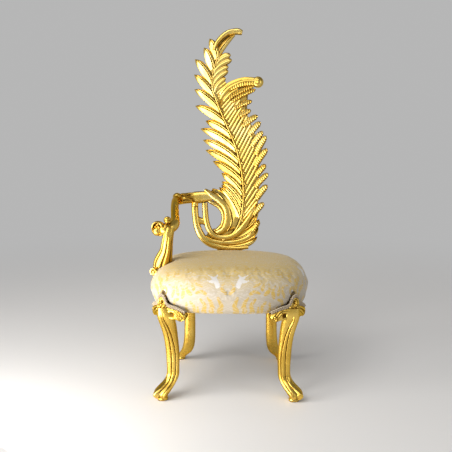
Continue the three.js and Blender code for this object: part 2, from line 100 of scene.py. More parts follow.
def loftShell(rings, paintedShades):  # rings: n x m x 3, tones: n x m of painted shade, 0 bright and 1 the painted shade of a deep groove
    rings, paintedShades = np.array(rings), np.array(paintedShades)
    n, m = rings.shape[:2]
    points = np.vstack([rings.reshape(-1, 3), rings[0].mean(axis=0), rings[-1].mean(axis=0)])
    paintedShade = np.concatenate([paintedShades.reshape(-1), [paintedShades[0].mean(), paintedShades[-1].mean()]])
    k, j, last = np.arange(m), (np.arange(m) + 1) % m, (n - 1) * m
    step = np.repeat(np.arange(n - 1) * m, m)
    here, there = np.tile(k, n - 1) + step, np.tile(j, n - 1) + step
    walls = np.stack([here, there, there + m, here + m], axis=1)
    caps = np.vstack([np.stack([j, k, np.full(m, n * m)], axis=1),
                      np.stack([last + k, last + j, np.full(m, n * m + 1)], axis=1)])
    thirds = np.vstack([walls[:, :3], walls[:, [0, 2, 3]], caps])
    a, b, c = points[thirds[:, 0]], points[thirds[:, 1]], points[thirds[:, 2]]
    if np.sum(a * np.cross(b, c)) < 0:
        walls, caps = walls[:, ::-1], caps[:, ::-1]
    return points, walls.tolist() + caps.tolist(), paintedShade


def spineFrames(points, steps, up):  # places on a path with their across and lift directions, and its length
    spine, length = splinePoints(points, steps)
    tangent = np.gradient(spine, axis=0)
    tangent /= np.linalg.norm(tangent, axis=1)[:, None]
    across = np.cross(tangent, up)
    across /= np.linalg.norm(across, axis=1)[:, None]
    return spine, across, np.cross(across, tangent), length


def sweepShell(points, steps, up, section):  # section(share, length so far) gives (across, lift, tone) rows
    spine, across, lift, length = spineFrames(points, steps, up)
    rings, paintedShades = [], []
    for k in range(steps + 1):
        u = k / steps
        rows = np.array(section(u, u * length))
        rings.append(spine[k] + rows[:, :1] * across[k] + rows[:, 1:2] * lift[k])
        paintedShades.append(rows[:, 2])
    return loftShell(rings, paintedShades)


def fullTurn(count):
    return np.linspace(0, 2 * math.pi, count, endpoint=False)


def awayFromSegment(x, y, start, end):  # share along the segment and distance from it
    (x0, y0), (x1, y1) = start, end
    along = np.clip(((x - x0) * (x1 - x0) + (y - y0) * (y1 - y0)) / ((x1 - x0) ** 2 + (y1 - y0) ** 2), 0, 1)
    return along, np.hypot(x - x0 - along * (x1 - x0), y - y0 - along * (y1 - y0))


def curvePoints(line, steps):  # flat curve through the points
    return splinePoints([(x, y, 0) for x, y in line], steps)[0][:, :2]


def moveShell(shell, matrix, offset):
    points, faces, paintedShade = shell
    return points @ np.array(matrix).T + np.array(offset), faces, paintedShade


def mirrorShell(shell):
    points, faces, paintedShade = shell
    return points * np.array([-1, 1, 1]), [f[::-1] for f in faces], paintedShade


def buildPiece(name, shells, material, replaced, smoothAngle=38):
    points, faces, start = [], [], 0
    for p, f, _ in shells:
        points.append(p * unit)
        faces += [tuple(i + start for i in face) for face in f]
        start += len(p)
    mesh = bpy.data.meshes.new(name)
    mesh.from_pydata(np.vstack(points).tolist(), [], faces)
    paintedShades = np.concatenate([shell[2] for shell in shells])
    # painted shade: the per-vertex shade value, dark in grooves, recesses, gaps, undersides and back sides, goes to
    # the materials as an attribute
    mesh.attributes.new("paintedShade", "FLOAT", "POINT").data.foreach_set("value", paintedShades)
    mesh.update()
    piece = bpy.data.objects.new(name, mesh)
    bpy.context.collection.objects.link(piece)
    bpy.context.view_layer.objects.active = piece
    piece.select_set(True)
    bpy.ops.object.shade_smooth_by_angle(angle=math.radians(smoothAngle))
    piece.select_set(False)
    mesh.materials.append(material)
    dressPiece(piece, replaced)


def buildPair(name, shells, material, node, smoothAngle=38):  # the left piece, then its mirror image
    mirrored = [mirrorShell(shell) for shell in shells]
    for side, sideShells in (("left", shells), ("right", mirrored)):
        buildPiece(name + side, sideShells, material, [node + side], smoothAngle)


def dressPiece(piece, replaced):
    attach(piece, body)
    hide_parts(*replaced)
    print("made", piece.name, len(piece.data.polygons), "faces")


# Materials

def newMaterial(name):
    material = bpy.data.materials.new(name)
    material.use_nodes = True
    return material, material.node_tree, material.node_tree.nodes["Principled BSDF"]


def setInputs(tree, node, values):  # sockets are linked, colours and numbers are set
    for key, value in values.items():
        if isinstance(value, bpy.types.NodeSocket):
            tree.links.new(value, node.inputs[key])
        elif isinstance(value, tuple):
            node.inputs[key].default_value = (*value, 1)
        else:
            node.inputs[key].default_value = value


def addNode(tree, kind, values, **settings):
    node = tree.nodes.new(kind)
    for key, value in settings.items():
        setattr(node, key, value)
    setInputs(tree, node, values)
    return node


def mathNode(tree, operation, *inputs, clamp=False):
    return addNode(tree, "ShaderNodeMath", dict(enumerate(inputs)), operation=operation,
                   use_clamp=clamp).outputs[0]


def noiseNode(tree, where, scale, detail, roughness):
    values = {"Vector": where, "Scale": scale, "Detail": detail, "Roughness": roughness}
    return addNode(tree, "ShaderNodeTexNoise", values).outputs["Fac"]


def mixNode(tree, factor, a, b):
    return addNode(tree, "ShaderNodeMix", {"Factor": factor, "A": a, "B": b}, data_type="RGBA").outputs["Result"]


def rangeNode(tree, value, toMin, toMax, fromMin=0.0):
    values = {"Value": value, "From Min": fromMin, "To Min": toMin, "To Max": toMax}
    return addNode(tree, "ShaderNodeMapRange", values).outputs["Result"]


def bumpNode(tree, height, strength, distance):
    values = {"Height": height, "Strength": strength, "Distance": distance}
    return addNode(tree, "ShaderNodeBump", values).outputs["Normal"]


def attributeNode(tree, name):
    return addNode(tree, "ShaderNodeAttribute", {}, attribute_name=name).outputs["Fac"]


def objectPlace(tree):
    return tree.nodes.new("ShaderNodeTexCoord").outputs["Object"]


def rampNode(tree, factor, stops):
    node = addNode(tree, "ShaderNodeValToRGB", {"Fac": factor})
    ramp = node.color_ramp
    while len(ramp.elements) < len(stops):
        ramp.elements.new(0.5)
    for element, (place, colour) in zip(ramp.elements, stops):
        element.position = place
        element.color = (*colour, 1)
    return node.outputs["Color"]


black, white = (0, 0, 0), (1, 1, 1)
plumeGold = {
    "leaf": (0.89, 0.62, 0.14),
    "warm": (0.79, 0.51, 0.08),
    "rubbed": (0.96, 0.73, 0.25),
    # dark brown of the painted shade in grooves, recesses, gaps and undersides
    "groove": (0.12, 0.066, 0.01),
}
frameGold = {
    "leaf": (0.76, 0.5, 0.09),
    "warm": (0.66, 0.4, 0.06),
    "rubbed": (0.88, 0.62, 0.16),
    # dark brown of the painted shade in grooves, recesses, gaps and undersides
    "groove": (0.1, 0.05, 0.008),
}
goldRough = (0.2, 0.4)
goldEdge = (0.86, 0.62, 0.24)  # tint at grazing angles, which keeps the edges golden
# ambient occlusion paints shade into corners, creases and gaps between parts: its reach, samples and strength
occlusionReach, occlusionSamples, occlusionShadeGain = 0.012, 6, 1.15


def gildingMaterial(name, gold):
    material, tree, shader = newMaterial(name)
    where = objectPlace(tree)
    # painted shade from ambient occlusion, then the larger of it and the per-vertex painted shade, plus a random
    # speckle
    corner = addNode(tree, "ShaderNodeAmbientOcclusion", {"Distance": occlusionReach}, samples=occlusionSamples)
    occlusionShade = mathNode(tree, "MULTIPLY", mathNode(tree, "SUBTRACT", 1.0, corner.outputs["AO"]), occlusionShadeGain)
    deep = mathNode(tree, "MAXIMUM", attributeNode(tree, "paintedShade"), occlusionShade)
    speckle = mathNode(tree, "MULTIPLY_ADD", noiseNode(tree, where, 160, 4, 0.6), 0.16, -0.1)
    deep = mathNode(tree, "ADD", deep, speckle)
    # painted shade mixes the leaf colour to the dark brown; the same mask makes the gilding rougher
    groove = rampNode(tree, deep, [(0.0, black), (0.35, (0.12, 0.12, 0.12)), (0.85, white)])
    patches = noiseNode(tree, where, 9, 3, 0.55)
    leaf = rampNode(tree, patches, [(0.3, gold["warm"]), (0.5, gold["leaf"]), (0.72, gold["rubbed"])])
    fine = noiseNode(tree, where, 55, 4, 0.6)
    dull = mathNode(tree, "MULTIPLY_ADD", groove, 0.9, fine, clamp=True)
    setInputs(tree, shader, {
        "Base Color": mixNode(tree, groove, leaf, gold["groove"]),
        "Roughness": rangeNode(tree, dull, *goldRough, 0.3),
        "Metallic": 1.0,
        "Specular Tint": goldEdge,
        "Normal": bumpNode(tree, noiseNode(tree, where, 50, 2, 0.5), 0.06, 0.0006),
    })
    return material


gilding = gildingMaterial("plume_gold_leaf", plumeGold)
deepGilding = gildingMaterial("frame_gold_leaf", frameGold)
print("gilding mixed")


# Back plume, drawn upright: x across, s up, ridges on the front plane

plume = {
    "rake": math.radians(5),
    "thick": 32.0,
    "setback": 27.0,
    "sink": 20.0,
    "leafWide": 41.0,
    "leafBow": -0.07,
    "rightWide": 31.0,
    "ribGap": 14.5,
    "ribWide": 16.5,
    "beadPitch": 10.5,
    "recess": 13.0,
}
rachis = [(49, -37), (76, 7), (130, 38), (192, 51), (280, 53), (325, 49), (402, 35), (470, 15), (550, -19),
          (639, -57), (719, -84), (774, -84), (843, -65)]  # height, x
vaneEdge = [(19, 74), (60, 98), (110, 108), (170, 110), (240, 124), (340, 124), (440, 120), (500, 110),
            (550, 92), (590, 74), (625, 56), (660, 44), (690, 30), (710, 14), (730, -6), (750, -30), (765, -50)]
leftLeaflets = [(843, 96, 19), (787, 115, 20), (735, 132, 34), (668, 145, 41), (618, 148, 50), (560, 157, 59),
                (504, 134, 58), (446, 184, 59), (390, 191, 58), (346, 188, 57.6), (298, 166, 53),
                (245, 139, 43.5), (201, 142, 41), (165, 156, 35), (139, 172, 33)]  # foot on the rachis, length, lean
rightLeaflets = [(822, 80, 58), (791, 97, 58), (761, 90, 54), (730, 97, 48), (700, 84, 40)]
edgeLeaflets = [(-4, 678, 118, 65, 22), (8, 664, 110, 64, 22), (20, 632, 78, 67, 24), (34, 594, 60, 62, 25),
                (56, 556, 74, 55, 28), (82, 516, 72, 41, 29), (94, 466, 78, 36, 29), (112, 430, 90, 28, 30),
                (110, 380, 89, 34, 30), (114, 336, 62, 40, 28), (110, 286, 80, 43, 28), (116, 234, 74, 37, 30),
                (103, 163, 67, 40, 28), (103, 92, 49, 27, 26)]  # foot x, foot height, length, lean, width
toViewer = np.array([0.0, -1.0, 0.0])
plumeThick = plume["thick"]


def onPlume(x, s, lift=0.0):
    return x, -lift, s


def shapedSection(front, rear):  # rows (share of the width, depth, painted shade), from the ridge and from the back
    def section(w, back):
        return ([(c * w, -back - d, paintedShade) for c, d, paintedShade in front]
                + [(c * w, -plumeThick + d, paintedShade) for c, d, paintedShade in rear])
    return section


softRear = [(0.4, 5, 0.5), (0, 0, 0.25), (-0.4, 5, 0.5)]
bladeSection = shapedSection(  # facet, incised line, ridge, facet, and a rounded back; painted shade in the incised line and on the sides
    [(-0.5, 18, 1.0), (-0.5, 13, 0.7), (-0.45, 11.2, 0.0), (-0.2, 7, 0.0), (0.02, 3.2, 0.0), (0.05, 6, 1.0),
     (0.13, 6, 1.0), (0.16, 0.6, 0.2), (0.2, 0, 0.0), (0.33, 2.4, 0.04), (0.44, 5.4, 0.15), (0.49, 8.4, 0.7),
     (0.5, 13, 1.0)],
    [(0.46, 8, 0.5), (0.24, 2.4, 0.3), (0.0, 0, 0.25), (-0.24, 2.4, 0.3), (-0.46, 8, 0.5)])
softSection = shapedSection(  # softer blade of the right side, its broad face up
    [(-0.5, 14, 1.0), (-0.47, 8.5, 0.5), (-0.4, 6.6, 0.0), (-0.1, 2.8, 0.0), (-0.04, 3.4, 0.75), (0.02, 2.4, 0.1),
     (0.14, 0.8, 0.0), (0.3, 1.6, 0.1), (0.42, 5, 0.6), (0.5, 14, 1.0)], softRear)
bandSection = shapedSection(  # rounded moulding
    [(-0.5, 15, 0.95), (-0.47, 8.5, 0.6), (-0.38, 3.6, 0.12), (-0.22, 0.9, 0.0), (0.0, 0.0, 0.0),
     (0.22, 0.9, 0.0), (0.38, 3.6, 0.12), (0.47, 8.5, 0.6), (0.5, 15, 0.95)],
    [(0.46, 7, 0.5), (0.25, 1.8, 0.3), (0.0, 0, 0.25), (-0.25, 1.8, 0.3), (-0.46, 7, 0.5)])
fingerSection = shapedSection(  # broad face turned to the upper left, beaded along its length
    [(-0.5, 14, 0.9), (-0.48, 8.5, 0.4), (-0.42, 5.6, 0.0), (-0.15, 2.6, 0.0), (0.12, 0.2, 0.0), (0.3, 1.2, 0.1),
     (0.42, 5, 0.5), (0.5, 14, 1.0)], softRear)
stemSection = shapedSection(  # rachis, with a groove along its left side darkened by painted shade
    [(-0.5, 12, 1.0), (-0.46, 2.5, 1.0), (-0.2, 4.5, 1.0), (-0.12, 0.6, 0.7), (0.04, -1.0, 0.15),
     (0.2, -1.2, 0.1), (0.38, 0.6, 0.3), (0.47, 5, 0.8), (0.5, 12, 0.9)],
    [(0.5, 3, 0.4), (0.2, 0, 0.1), (-0.2, 0, 0.1), (-0.5, 3, 0.4)])
leafWidths = [(0, 0.8), (0.25, 0.98), (0.55, 1), (0.78, 0.8), (0.92, 0.44), (1, 0.03)]
bluntWidths = [(0, 0.85), (0.3, 1), (0.75, 1), (0.93, 0.66), (1, 0.2)]


def notch(run):  # 0 on a bead and 1 in the cut between two
    return 1 - abs(math.sin(math.pi * run / plume["beadPitch"]))


def leafletShell(x, s, length, lean, width, bow, section, widths=leafWidths, steps=26):
    angle = math.radians(lean)

    def along(d, side):
        return onPlume(x + d * math.sin(angle) + side * math.cos(angle),
                       s + d * math.cos(angle) - side * math.sin(angle))

    points = [along(u * length, bow * length * 4 * u * (u - 1)) for u in (-0.06, 0.2, 0.45, 0.7, 0.88, 1)]
    return sweepShell(points, steps, toViewer, lambda u, run: section(width * smoothKeys(widths, u), u, run))


def fingerShell(x, s, length, lean, width):
    def beaded(w, u, run):
        rows = []
        for a, lift, paintedShade in fingerSection(w, 6 * u * u - 2):
            cut = notch(run + 0.35 * a)
            # painted shade in the cuts between beads
            rows.append((a * (1 - 0.14 * cut), lift - 4.5 * cut * (lift > -12), max(paintedShade, 0.75 * cut)))
        return rows
    return leafletShell(x, s, length, lean, width, 0.04, beaded, bluntWidths, int(length * 0.8))


def bandShell(points, widths, back=0.0, steps=40, section=bandSection):
    return sweepShell([onPlume(x, s) for x, s in points], steps, toViewer,
                      lambda u, run: section(smoothKeys(widths, u), back))


def plateShell(outline, recess, paintedShade=0.7, inside=5):  # flat web, set back from the ridges, darkened by painted shade as a recess
    front = [onPlume(x, s, -recess) for x, s in outline]
    rear = [onPlume(x, s, -plumeThick + inside) for x, s in outline]
    return loftShell([front, rear], np.full((2, len(outline)), paintedShade))


def stemShell():
    return bandShell([(x, s) for s, x in rachis], [(0, 18), (0.2, 14), (0.6, 12), (1, 9)], 0, 90, stemSection)


def vaneRibShells():
    shells = []
    w = plume["ribWide"]
    s, count = 62.0, 0
    while s < 712:
        lean = math.radians(smoothKeys([(62, 46), (96, 38), (300, 27), (520, 30), (620, 42), (700, 52)], s))
        x = smoothKeys(rachis, s)
        run = math.atan2(smoothKeys(rachis, s + 4) - x, 4)
        length = 20.0
        while x + length * math.sin(lean) < smoothKeys(vaneEdge, s + length * math.cos(lean)) - 4:
            length += 2
        slot = count % 2 == 1
        cutAt = 0.3 + 0.13 * ((count * 5) % 4)

        # painted shade along the rib's edges and, on every second rib, in a short slot cut deeper
        def section(u, run):
            half = 0.5 * w * (1 - 0.12 * u)
            deeper = 1.0 if slot and cutAt < u < cutAt + 0.2 else 0.0
            return [(-half, -16, 0.8), (-0.92 * half, -10.4, 0.45), (-0.5 * half, -8.2, 0.24),
                    (0.1 * half, -7.4, 0.18),
                    (0.5 * half, -8.2, 0.26), (0.76 * half, -10 - 5 * deeper, 0.45 + 0.55 * deeper),
                    (0.93 * half, -12 - 5 * deeper, 0.8 + 0.2 * deeper), (half, -17, 0.9),
                    (0.7 * half, -plumeThick + 5, 0.4), (-0.7 * half, -plumeThick + 5, 0.4)]

        points = [onPlume(x + u * length * math.sin(lean), s + u * length * math.cos(lean)) for u in (0, 0.5, 1)]
        shells.append(sweepShell(points, 30, toViewer, section))
        s += min(plume["ribGap"] / max(math.sin(lean - run), 0.2), 34)
        count += 1
    return shells


def vaneWeb():
    heights = np.linspace(60, 728, 30)
    flare = [(520, 0), (620, 6), (680, 30), (728, 80)]
    outline = [(smoothKeys(vaneEdge, s) + smoothKeys(flare, s), s) for s in heights]
    outline += [(smoothKeys(rachis, s), s) for s in heights[::-1]]
    return plateShell(outline, plume["recess"], 0.35)


scrollWeb = [(-112, 66), (-60, 28), (30, 14), (76, 22), (104, 90), (60, 150), (10, 96), (-30, 74),
             (-70, 76), (-98, 88)]
stemWeb = [(-58, 62), (-10, 52), (50, 54), (74, 100), (44, 150), (18, 150), (-2, 110), (-34, 84)]
armJoint = {"x": -163.0, "height": 236.0, "tall": 54.0, "deep": 32.0, "gap": 0.3}
footBlade = [(0, 14), (0.4, 27), (0.75, 27), (0.92, 14), (1, 2)]
footBlades = [
    (1, [(-4, 96), (40, 116), (80, 152), (104, 190), (112, 214)]),
    (3, [(-14, 78), (38, 90), (84, 118), (112, 158), (120, 176)]),
    (0, [(-24, 56), (34, 62), (84, 88), (114, 122), (125, 142)]),
    (2, [(-37, 38), (28, 40), (84, 60), (112, 86), (122, 102)]),
    (1, [(-60, 26), (10, 22), (70, 32), (104, 50), (117, 64)]),
]


def footScrollShells():
    return [
        bandShell([(-161, 208), (-157, 150), (-147, 100), (-124, 58), (-88, 30), (-37, 16), (25, 12), (78, 17)],
                  [(0, 30), (0.2, 30), (0.38, 33), (0.7, 26), (1, 16)], 0, 60),
        bandShell([(-124, 62), (-80, 43), (-24, 36), (34, 42), (83, 66), (110, 112)],
                  [(0, 22), (0.3, 28), (0.8, 28), (1, 14)], 2),
        bandShell([(-116, 214), (-113, 164), (-108, 129), (-97, 96), (-75, 70), (-37, 59), (7, 66),
                   (43, 94), (69, 130), (92, 172)], [(0, 26), (0.35, 26), (0.55, 29), (0.8, 32), (1, 14)], -2, 60),
        bandShell([(-116, 272), (-104, 264), (-82, 246), (-51, 224), (-24, 196), (-13, 160), (-17, 123),
                   (-35, 94), (-62, 80)], [(0, 12), (0.18, 30), (0.45, 34), (0.75, 36), (1, 24)], -3, 56),
        bandShell([(-84, 272), (-50, 254), (-16, 214), (6, 168), (8, 122), (-10, 86)],
                  [(0, 16), (0.3, 36), (0.7, 40), (1, 28)], 1, 44, bladeSection),
        bandShell([(-104, 226), (-81, 213), (-55, 198), (-37, 174), (-33, 143), (-41, 114), (-62, 92)],
                  [(0, 16), (0.3, 20), (0.7, 18), (1, 18)], 5, 40),
        bandShell([(armJoint["x"] + armJoint["gap"], armJoint["height"]), (-140, 238), (-108, 240), (-84, 240)],
                  [(0, armJoint["tall"]), (0.5, 52), (1, 40)], 0, 14),
        bandShell([(-152, 134), (-104, 130)], [(0, 46), (0.5, 30), (1, 46)], 3, 14),
        bandShell([(-78, 98), (-60, 84), (-38, 84), (-20, 100), (-14, 122)], [(0, 8), (0.4, 24), (1, 30)], 2, 26),
        ballShell(onPlume(-160, 206, -8), 15, (1, 1, 1)),
    ] + [bandShell(points, footBlade, back, 34, bladeSection) for back, points in footBlades]


def beadedBand(points, widths, back, steps, depth):
    # painted shade in the cuts between beads
    return sweepShell([onPlume(x, s) for x, s in points], steps, toViewer, lambda u, run: [
        (a, l - depth * notch(run) * (l > -back - 9), max(t, 0.8 * notch(run)))
        for a, l, t in bandSection(smoothKeys(widths, u), back)])


ballAcross, ballRows = 28, 18


def ballShell(centre, radius, squash, grooves=0.0):
    rings, paintedShades = [], []
    for r in range(1, ballRows):
        polar = math.pi * r / ballRows
        ring, paintedShade = [], []
        for k in range(ballAcross):
            turn = 2 * math.pi * k / ballAcross
            level = math.sin(polar)
            direction = np.array([level * math.cos(turn), math.cos(polar), level * math.sin(turn)])
            wave = 0.5 + 0.5 * math.cos(3 * polar * 2 - turn)
            ring.append(np.array(centre) + direction * np.array(squash) * (radius - grooves * wave))
            # painted shade in the spiral groove
            paintedShade.append(0.5 * wave * (grooves > 0))
        rings.append(ring)
        paintedShades.append(paintedShade)
    return loftShell(rings, paintedShades)


def upperCurlShells():
    return [
        bandShell([(-60, 652), (-42, 690), (-14, 720), (22, 740), (60, 752), (108, 752)],
                  [(0, 16), (0.25, 36), (0.5, 38), (0.75, 32), (1, 28)], 3, 60, softSection),
        bandShell([(-50, 640), (-26, 676), (0, 702), (28, 718)], [(0, 14), (0.4, 30), (1, 26)], 4, 40,
                  softSection),
        beadedBand([(-10, 706), (20, 724), (52, 735), (104, 740)], [(0, 8), (0.3, 22), (1, 24)], 0, 120, 3.0),
        ballShell(onPlume(117, 745, -plumeThick / 2), 25, (1, 0.75, 1), 2.2),
        ballShell(onPlume(117, 745, 0), 8, (1, 0.8, 1)),
    ]


def hookShells():
    return [
        plateShell([(-62, 850), (-72, 890), (-50, 928), (-12, 958), (8, 956), (-20, 918), (-46, 876)], 14, 0.5),
        bandShell([(-66, 846), (-50, 882), (-32, 909), (-11, 932), (12, 952)],
                  [(0, 18), (0.35, 31), (0.7, 28), (1, 14)], 1, 44, bladeSection),
        bandShell([(-77, 884), (-68, 908), (-52, 930), (-32, 949), (-8, 963), (12, 966)],
                  [(0, 10), (0.25, 18), (0.6, 21), (1, 20)], -4, 44),
        bandShell([(-12, 957), (6, 963), (28, 965), (47, 960)], [(0, 22), (0.4, 27), (0.8, 26), (1, 20)], -2, 24),
        ballShell(onPlume(6, 957, -3), 6, (1, 0.9, 0.8), 3),
    ]


tenonOutline = [(-61, -72), (49, -72), (49, 20), (-61, 20)]
rakeTurn = np.array([[1, 0, 0], [0, math.cos(plume["rake"]), math.sin(plume["rake"])],
                     [0, -math.sin(plume["rake"]), math.cos(plume["rake"])]])
plumeFoot = np.array([0, seatY + seatDeep / 2 - plume["setback"], seatCrown - plume["sink"]])


def plumePoint(x, s, lift=0.0):
    return rakeTurn @ np.array(onPlume(x, s, lift)) + plumeFoot


def plumeShells():
    shells = [stemShell(), vaneWeb(), plateShell(scrollWeb, plume["recess"] + 2), plateShell(stemWeb, 7, 0.3),
              plateShell(tenonOutline, 9, 0.5, 0)]
    shells += [leafletShell(smoothKeys(rachis, s), s, length, -lean, plume["leafWide"], plume["leafBow"],
                            lambda w, u, run: bladeSection(w, 2 + 6 * u * u)) for s, length, lean in leftLeaflets]
    shells += [leafletShell(smoothKeys(rachis, s), s, length, lean, plume["rightWide"], 0.1,
                            lambda w, u, run: softSection(w, 2 + 5 * u * u), bluntWidths)
               for s, length, lean in rightLeaflets]
    shells += [fingerShell(*leaflet) for leaflet in edgeLeaflets]
    shells += vaneRibShells() + footScrollShells() + upperCurlShells() + hookShells()
    return [moveShell(shell, rakeTurn, plumeFoot) for shell in shells]


buildPiece("gilded_plume_back", plumeShells(), gilding, ["back_plume"])
print("plume carved")


# Plan of the seat, a rounded oblong; arcs are measured from its front left corner

squareness = 2.6
planTurn = np.linspace(0, 2 * math.pi, 14401)
planCos, planSin = np.cos(planTurn), np.sin(planTurn)
planX = seatWide / 2 * np.sign(planCos) * np.abs(planCos) ** (2 / squareness)
planY = seatDeep / 2 * np.sign(planSin) * np.abs(planSin) ** (2 / squareness)
planRun = np.concatenate([[0], np.cumsum(np.hypot(np.diff(planX), np.diff(planY)))])
planLong = planRun[-1]
evenRun = np.linspace(0, planLong, 4001)
evenX, evenY = np.interp(evenRun, planRun, planX), np.interp(evenRun, planRun, planY)
slopeX, slopeY = np.gradient(evenX), np.gradient(evenY)
outX, outY = slopeY / np.hypot(slopeX, slopeY), -slopeX / np.hypot(slopeX, slopeY)
cornerRun = evenRun[np.argmin(outX + outY)]


def planAt(arc):  # point of the plan and the direction that faces out there
    run = (cornerRun + arc) % planLong
    point = np.array([np.interp(run, evenRun, evenX), np.interp(run, evenRun, evenY) + seatY, 0])
    return point, np.array([np.interp(run, evenRun, outX), np.interp(run, evenRun, outY), 0])


corner = planAt(0)[0]
seatProfile = [(0.0, 27), (0.04, 15), (0.18, 4), (0.38, 0), (0.54, 1), (0.66, 7), (0.77, 19), (0.86, 42),
               (0.93, 82), (0.975, 140), (1.0, 258)]  # share of the height, how far the plan is drawn in


# Front legs: an S in the diagonal of the corner, two grooves beside a rib, a carved knee block on top

frontLegs = {
    "padHigh": 13.0,
    "padRadius": 20.0,
    "grooveDeep": 4.2,
    "grooveTurn": 3.4,
    "ribProud": 1.5,
    "toeProud": 3.2,
    "kneeRise": 62.0,
    "kneeDrop": 26.0,
    "kneeFront": 112.0,
    "kneeSide": 74.0,
    "kneeProud": 13.0,
    "kneeInner": -16.0,
}
bow = 38.0
legLean = [(0, 2), (0.06, 7), (0.1, 2), (0.14, -9), (0.17, -19), (0.21, -30), (0.25, -36), (0.29, -bow),
           (0.5, -bow), (0.68, -bow + 5), (0.84, -bow + 14), (0.97, -bow + 26), (1.1, -bow + 30)]
legWidth = [(0, 42), (0.04, 42), (0.08, 54), (0.13, 57), (0.2, 49), (0.3, 46), (0.45, 50), (0.7, 53), (0.86, 60),
            (1, 62), (1.12, 46)]
legDeeper = [(0, 1), (0.1, 1.22), (0.2, 1.05), (1, 1)]


def squareRing(centre, width, depth, turns, sink):  # rounded square, its corner on the diagonal
    rows = []
    for angle, drop in zip(turns, sink):
        c, s = math.cos(angle - math.pi / 4), math.sin(angle - math.pi / 4)
        radius = 1 / (abs(c) ** 3.2 + abs(s) ** 3.2) ** (1 / 3.2)
        out = (depth / 2 * radius - drop) * math.cos(angle)
        side = (width / 2 * radius - drop) * math.sin(angle)
        rows.append(centre + np.array([(-out - side), (-out + side), 0]) * math.sqrt(0.5))
    return rows


def legShaftShell():
    values = frontLegs
    turns = np.radians(np.concatenate([np.arange(-96, 96, 2.4), np.arange(96, 264, 8)]))
    away = np.abs((np.degrees(turns) + 180) % 360 - 180)
    rings, paintedShades = [], []
    for share in np.linspace(values["padHigh"] / seatFoot, 1.06, 72):
        fade = smoothKeys([(0.04, 0.25), (0.1, 0.8), (0.2, 1), (0.8, 1), (0.93, 0.7), (1.0, 0)], share)
        first = smoothKeys([(0.04, 26), (0.2, 33), (0.5, 36), (0.75, 30), (0.9, 20)], share)
        second = smoothKeys([(0.04, 64), (0.12, 66), (0.3, 74), (0.5, 74), (0.7, 62), (0.84, 46),
                             (0.92, 34)], share)
        cut = np.exp(-((away - first) / values["grooveTurn"]) ** 2)
        cut = np.maximum(cut, np.exp(-((away - second) / values["grooveTurn"]) ** 2))
        middle, half = (first + second) / 2, max((second - first) / 2, 4)
        rib = np.clip(1 - ((away - middle) / half) ** 2, 0, 1)
        toes = smoothKeys([(0.04, 1), (0.1, 1), (0.17, 0)], share) * np.cos(np.radians(away * 5)) * (away < 100)
        sink = fade * (values["grooveDeep"] * cut - values["ribProud"] * rib) - values["toeProud"] * toes
        offset, width = smoothKeys(legLean, share), smoothKeys(legWidth, share)
        offset += smoothKeys([(0.15, 0), (0.3, 2), (0.85, 3), (1, 0)], share)
        centre = np.array([corner[0] - offset, corner[1] - 12 - offset, share * seatFoot])
        rings.append(squareRing(centre, width, width * smoothKeys(legDeeper, share), turns, sink))
        # painted shade in the two grooves, on the back of the leg and between the toe's lobes
        paintedShades.append(np.clip(fade * cut ** 1.5 + 0.2 * (away > 120) - 0.7 * np.minimum(toes, 0), 0, 1))
    return loftShell(rings, paintedShades)


def turnedShell(profile, centre, sides=40):  # turned about a vertical axis; rows (radius, height, painted shade)
    rings, paintedShades = [], []
    for radius, height, paintedShade in profile:
        turn = fullTurn(sides)
        ring = np.stack([radius * np.cos(turn), radius * np.sin(turn), np.full(sides, height)], axis=1)
        rings.append(ring + np.array(centre))
        paintedShades.append(np.full(sides, paintedShade))
    return loftShell(rings, paintedShades)


def kneeTop(share):
    rise = smoothKeys([(0, 1), (0.13, 0.9), (0.24, 0.52), (0.36, 0.41), (0.6, 0.35), (0.85, 0.2),
                       (1, 0.08)], abs(share))
    return seatFoot + frontLegs["kneeRise"] * rise


def kneeFoot(share):
    drop = smoothKeys([(0, 1.1), (0.4, 0.9), (0.62, 0.85), (0.8, 1), (0.93, 0.7), (1, 0.2)], abs(share))
    return seatFoot - frontLegs["kneeDrop"] * drop


def kneeArc(share):
    return share * (frontLegs["kneeFront"] if share > 0 else frontLegs["kneeSide"])


# Relief on the knee, in arc from the corner and height over the floor: lines that stand proud, then hollows
kneeRidges = [
    ([(4, 407), (-10, 398), (-14, 386), (-10, 374), (-4, 365)], 4.0, 4.5),
    ([(4, 407), (18, 400), (25, 388), (22, 376), (12, 365)], 4.0, 4.5),
    ([(-12, 370), (-12, 354), (-8, 340), (-2, 322)], 4.0, 4.5),
    ([(32, 389), (30, 373), (22, 356), (12, 340), (2, 320)], 3.6, 5.5),
    ([(6, 358), (5, 346), (0, 332)], 3.4, 3.5),
    ([(28, 363), (46, 365), (62, 364), (76, 359)], 2.8, 3.0),
    ([(70, 370), (84, 362), (97, 352), (106, 340), (103, 326), (92, 324), (88, 334), (95, 341)], 3.4, 5.5),
    ([(66, 363), (78, 356), (88, 346)], 2.6, 4.5),
    ([(66, 352), (74, 346), (82, 336)], 2.4, 3.6),
    ([(-24, 368), (-42, 360), (-60, 350)], 3.4, 3.0),
    ([(-26, 354), (-40, 345), (-54, 334)], 3.0, 2.6),
]
kneeHollows = [(8, 387, 5.5, 10.0), (50, 341, 11.5, 6.5), (5, 377, 2.0, 0.0)]
kneeBeads = [(8, 377, 6.5, 6.5), (96, 333, 3.8, 3.2)]


kneeCurves = [(curvePoints(line, 24), wide, proud) for line, wide, proud in kneeRidges]


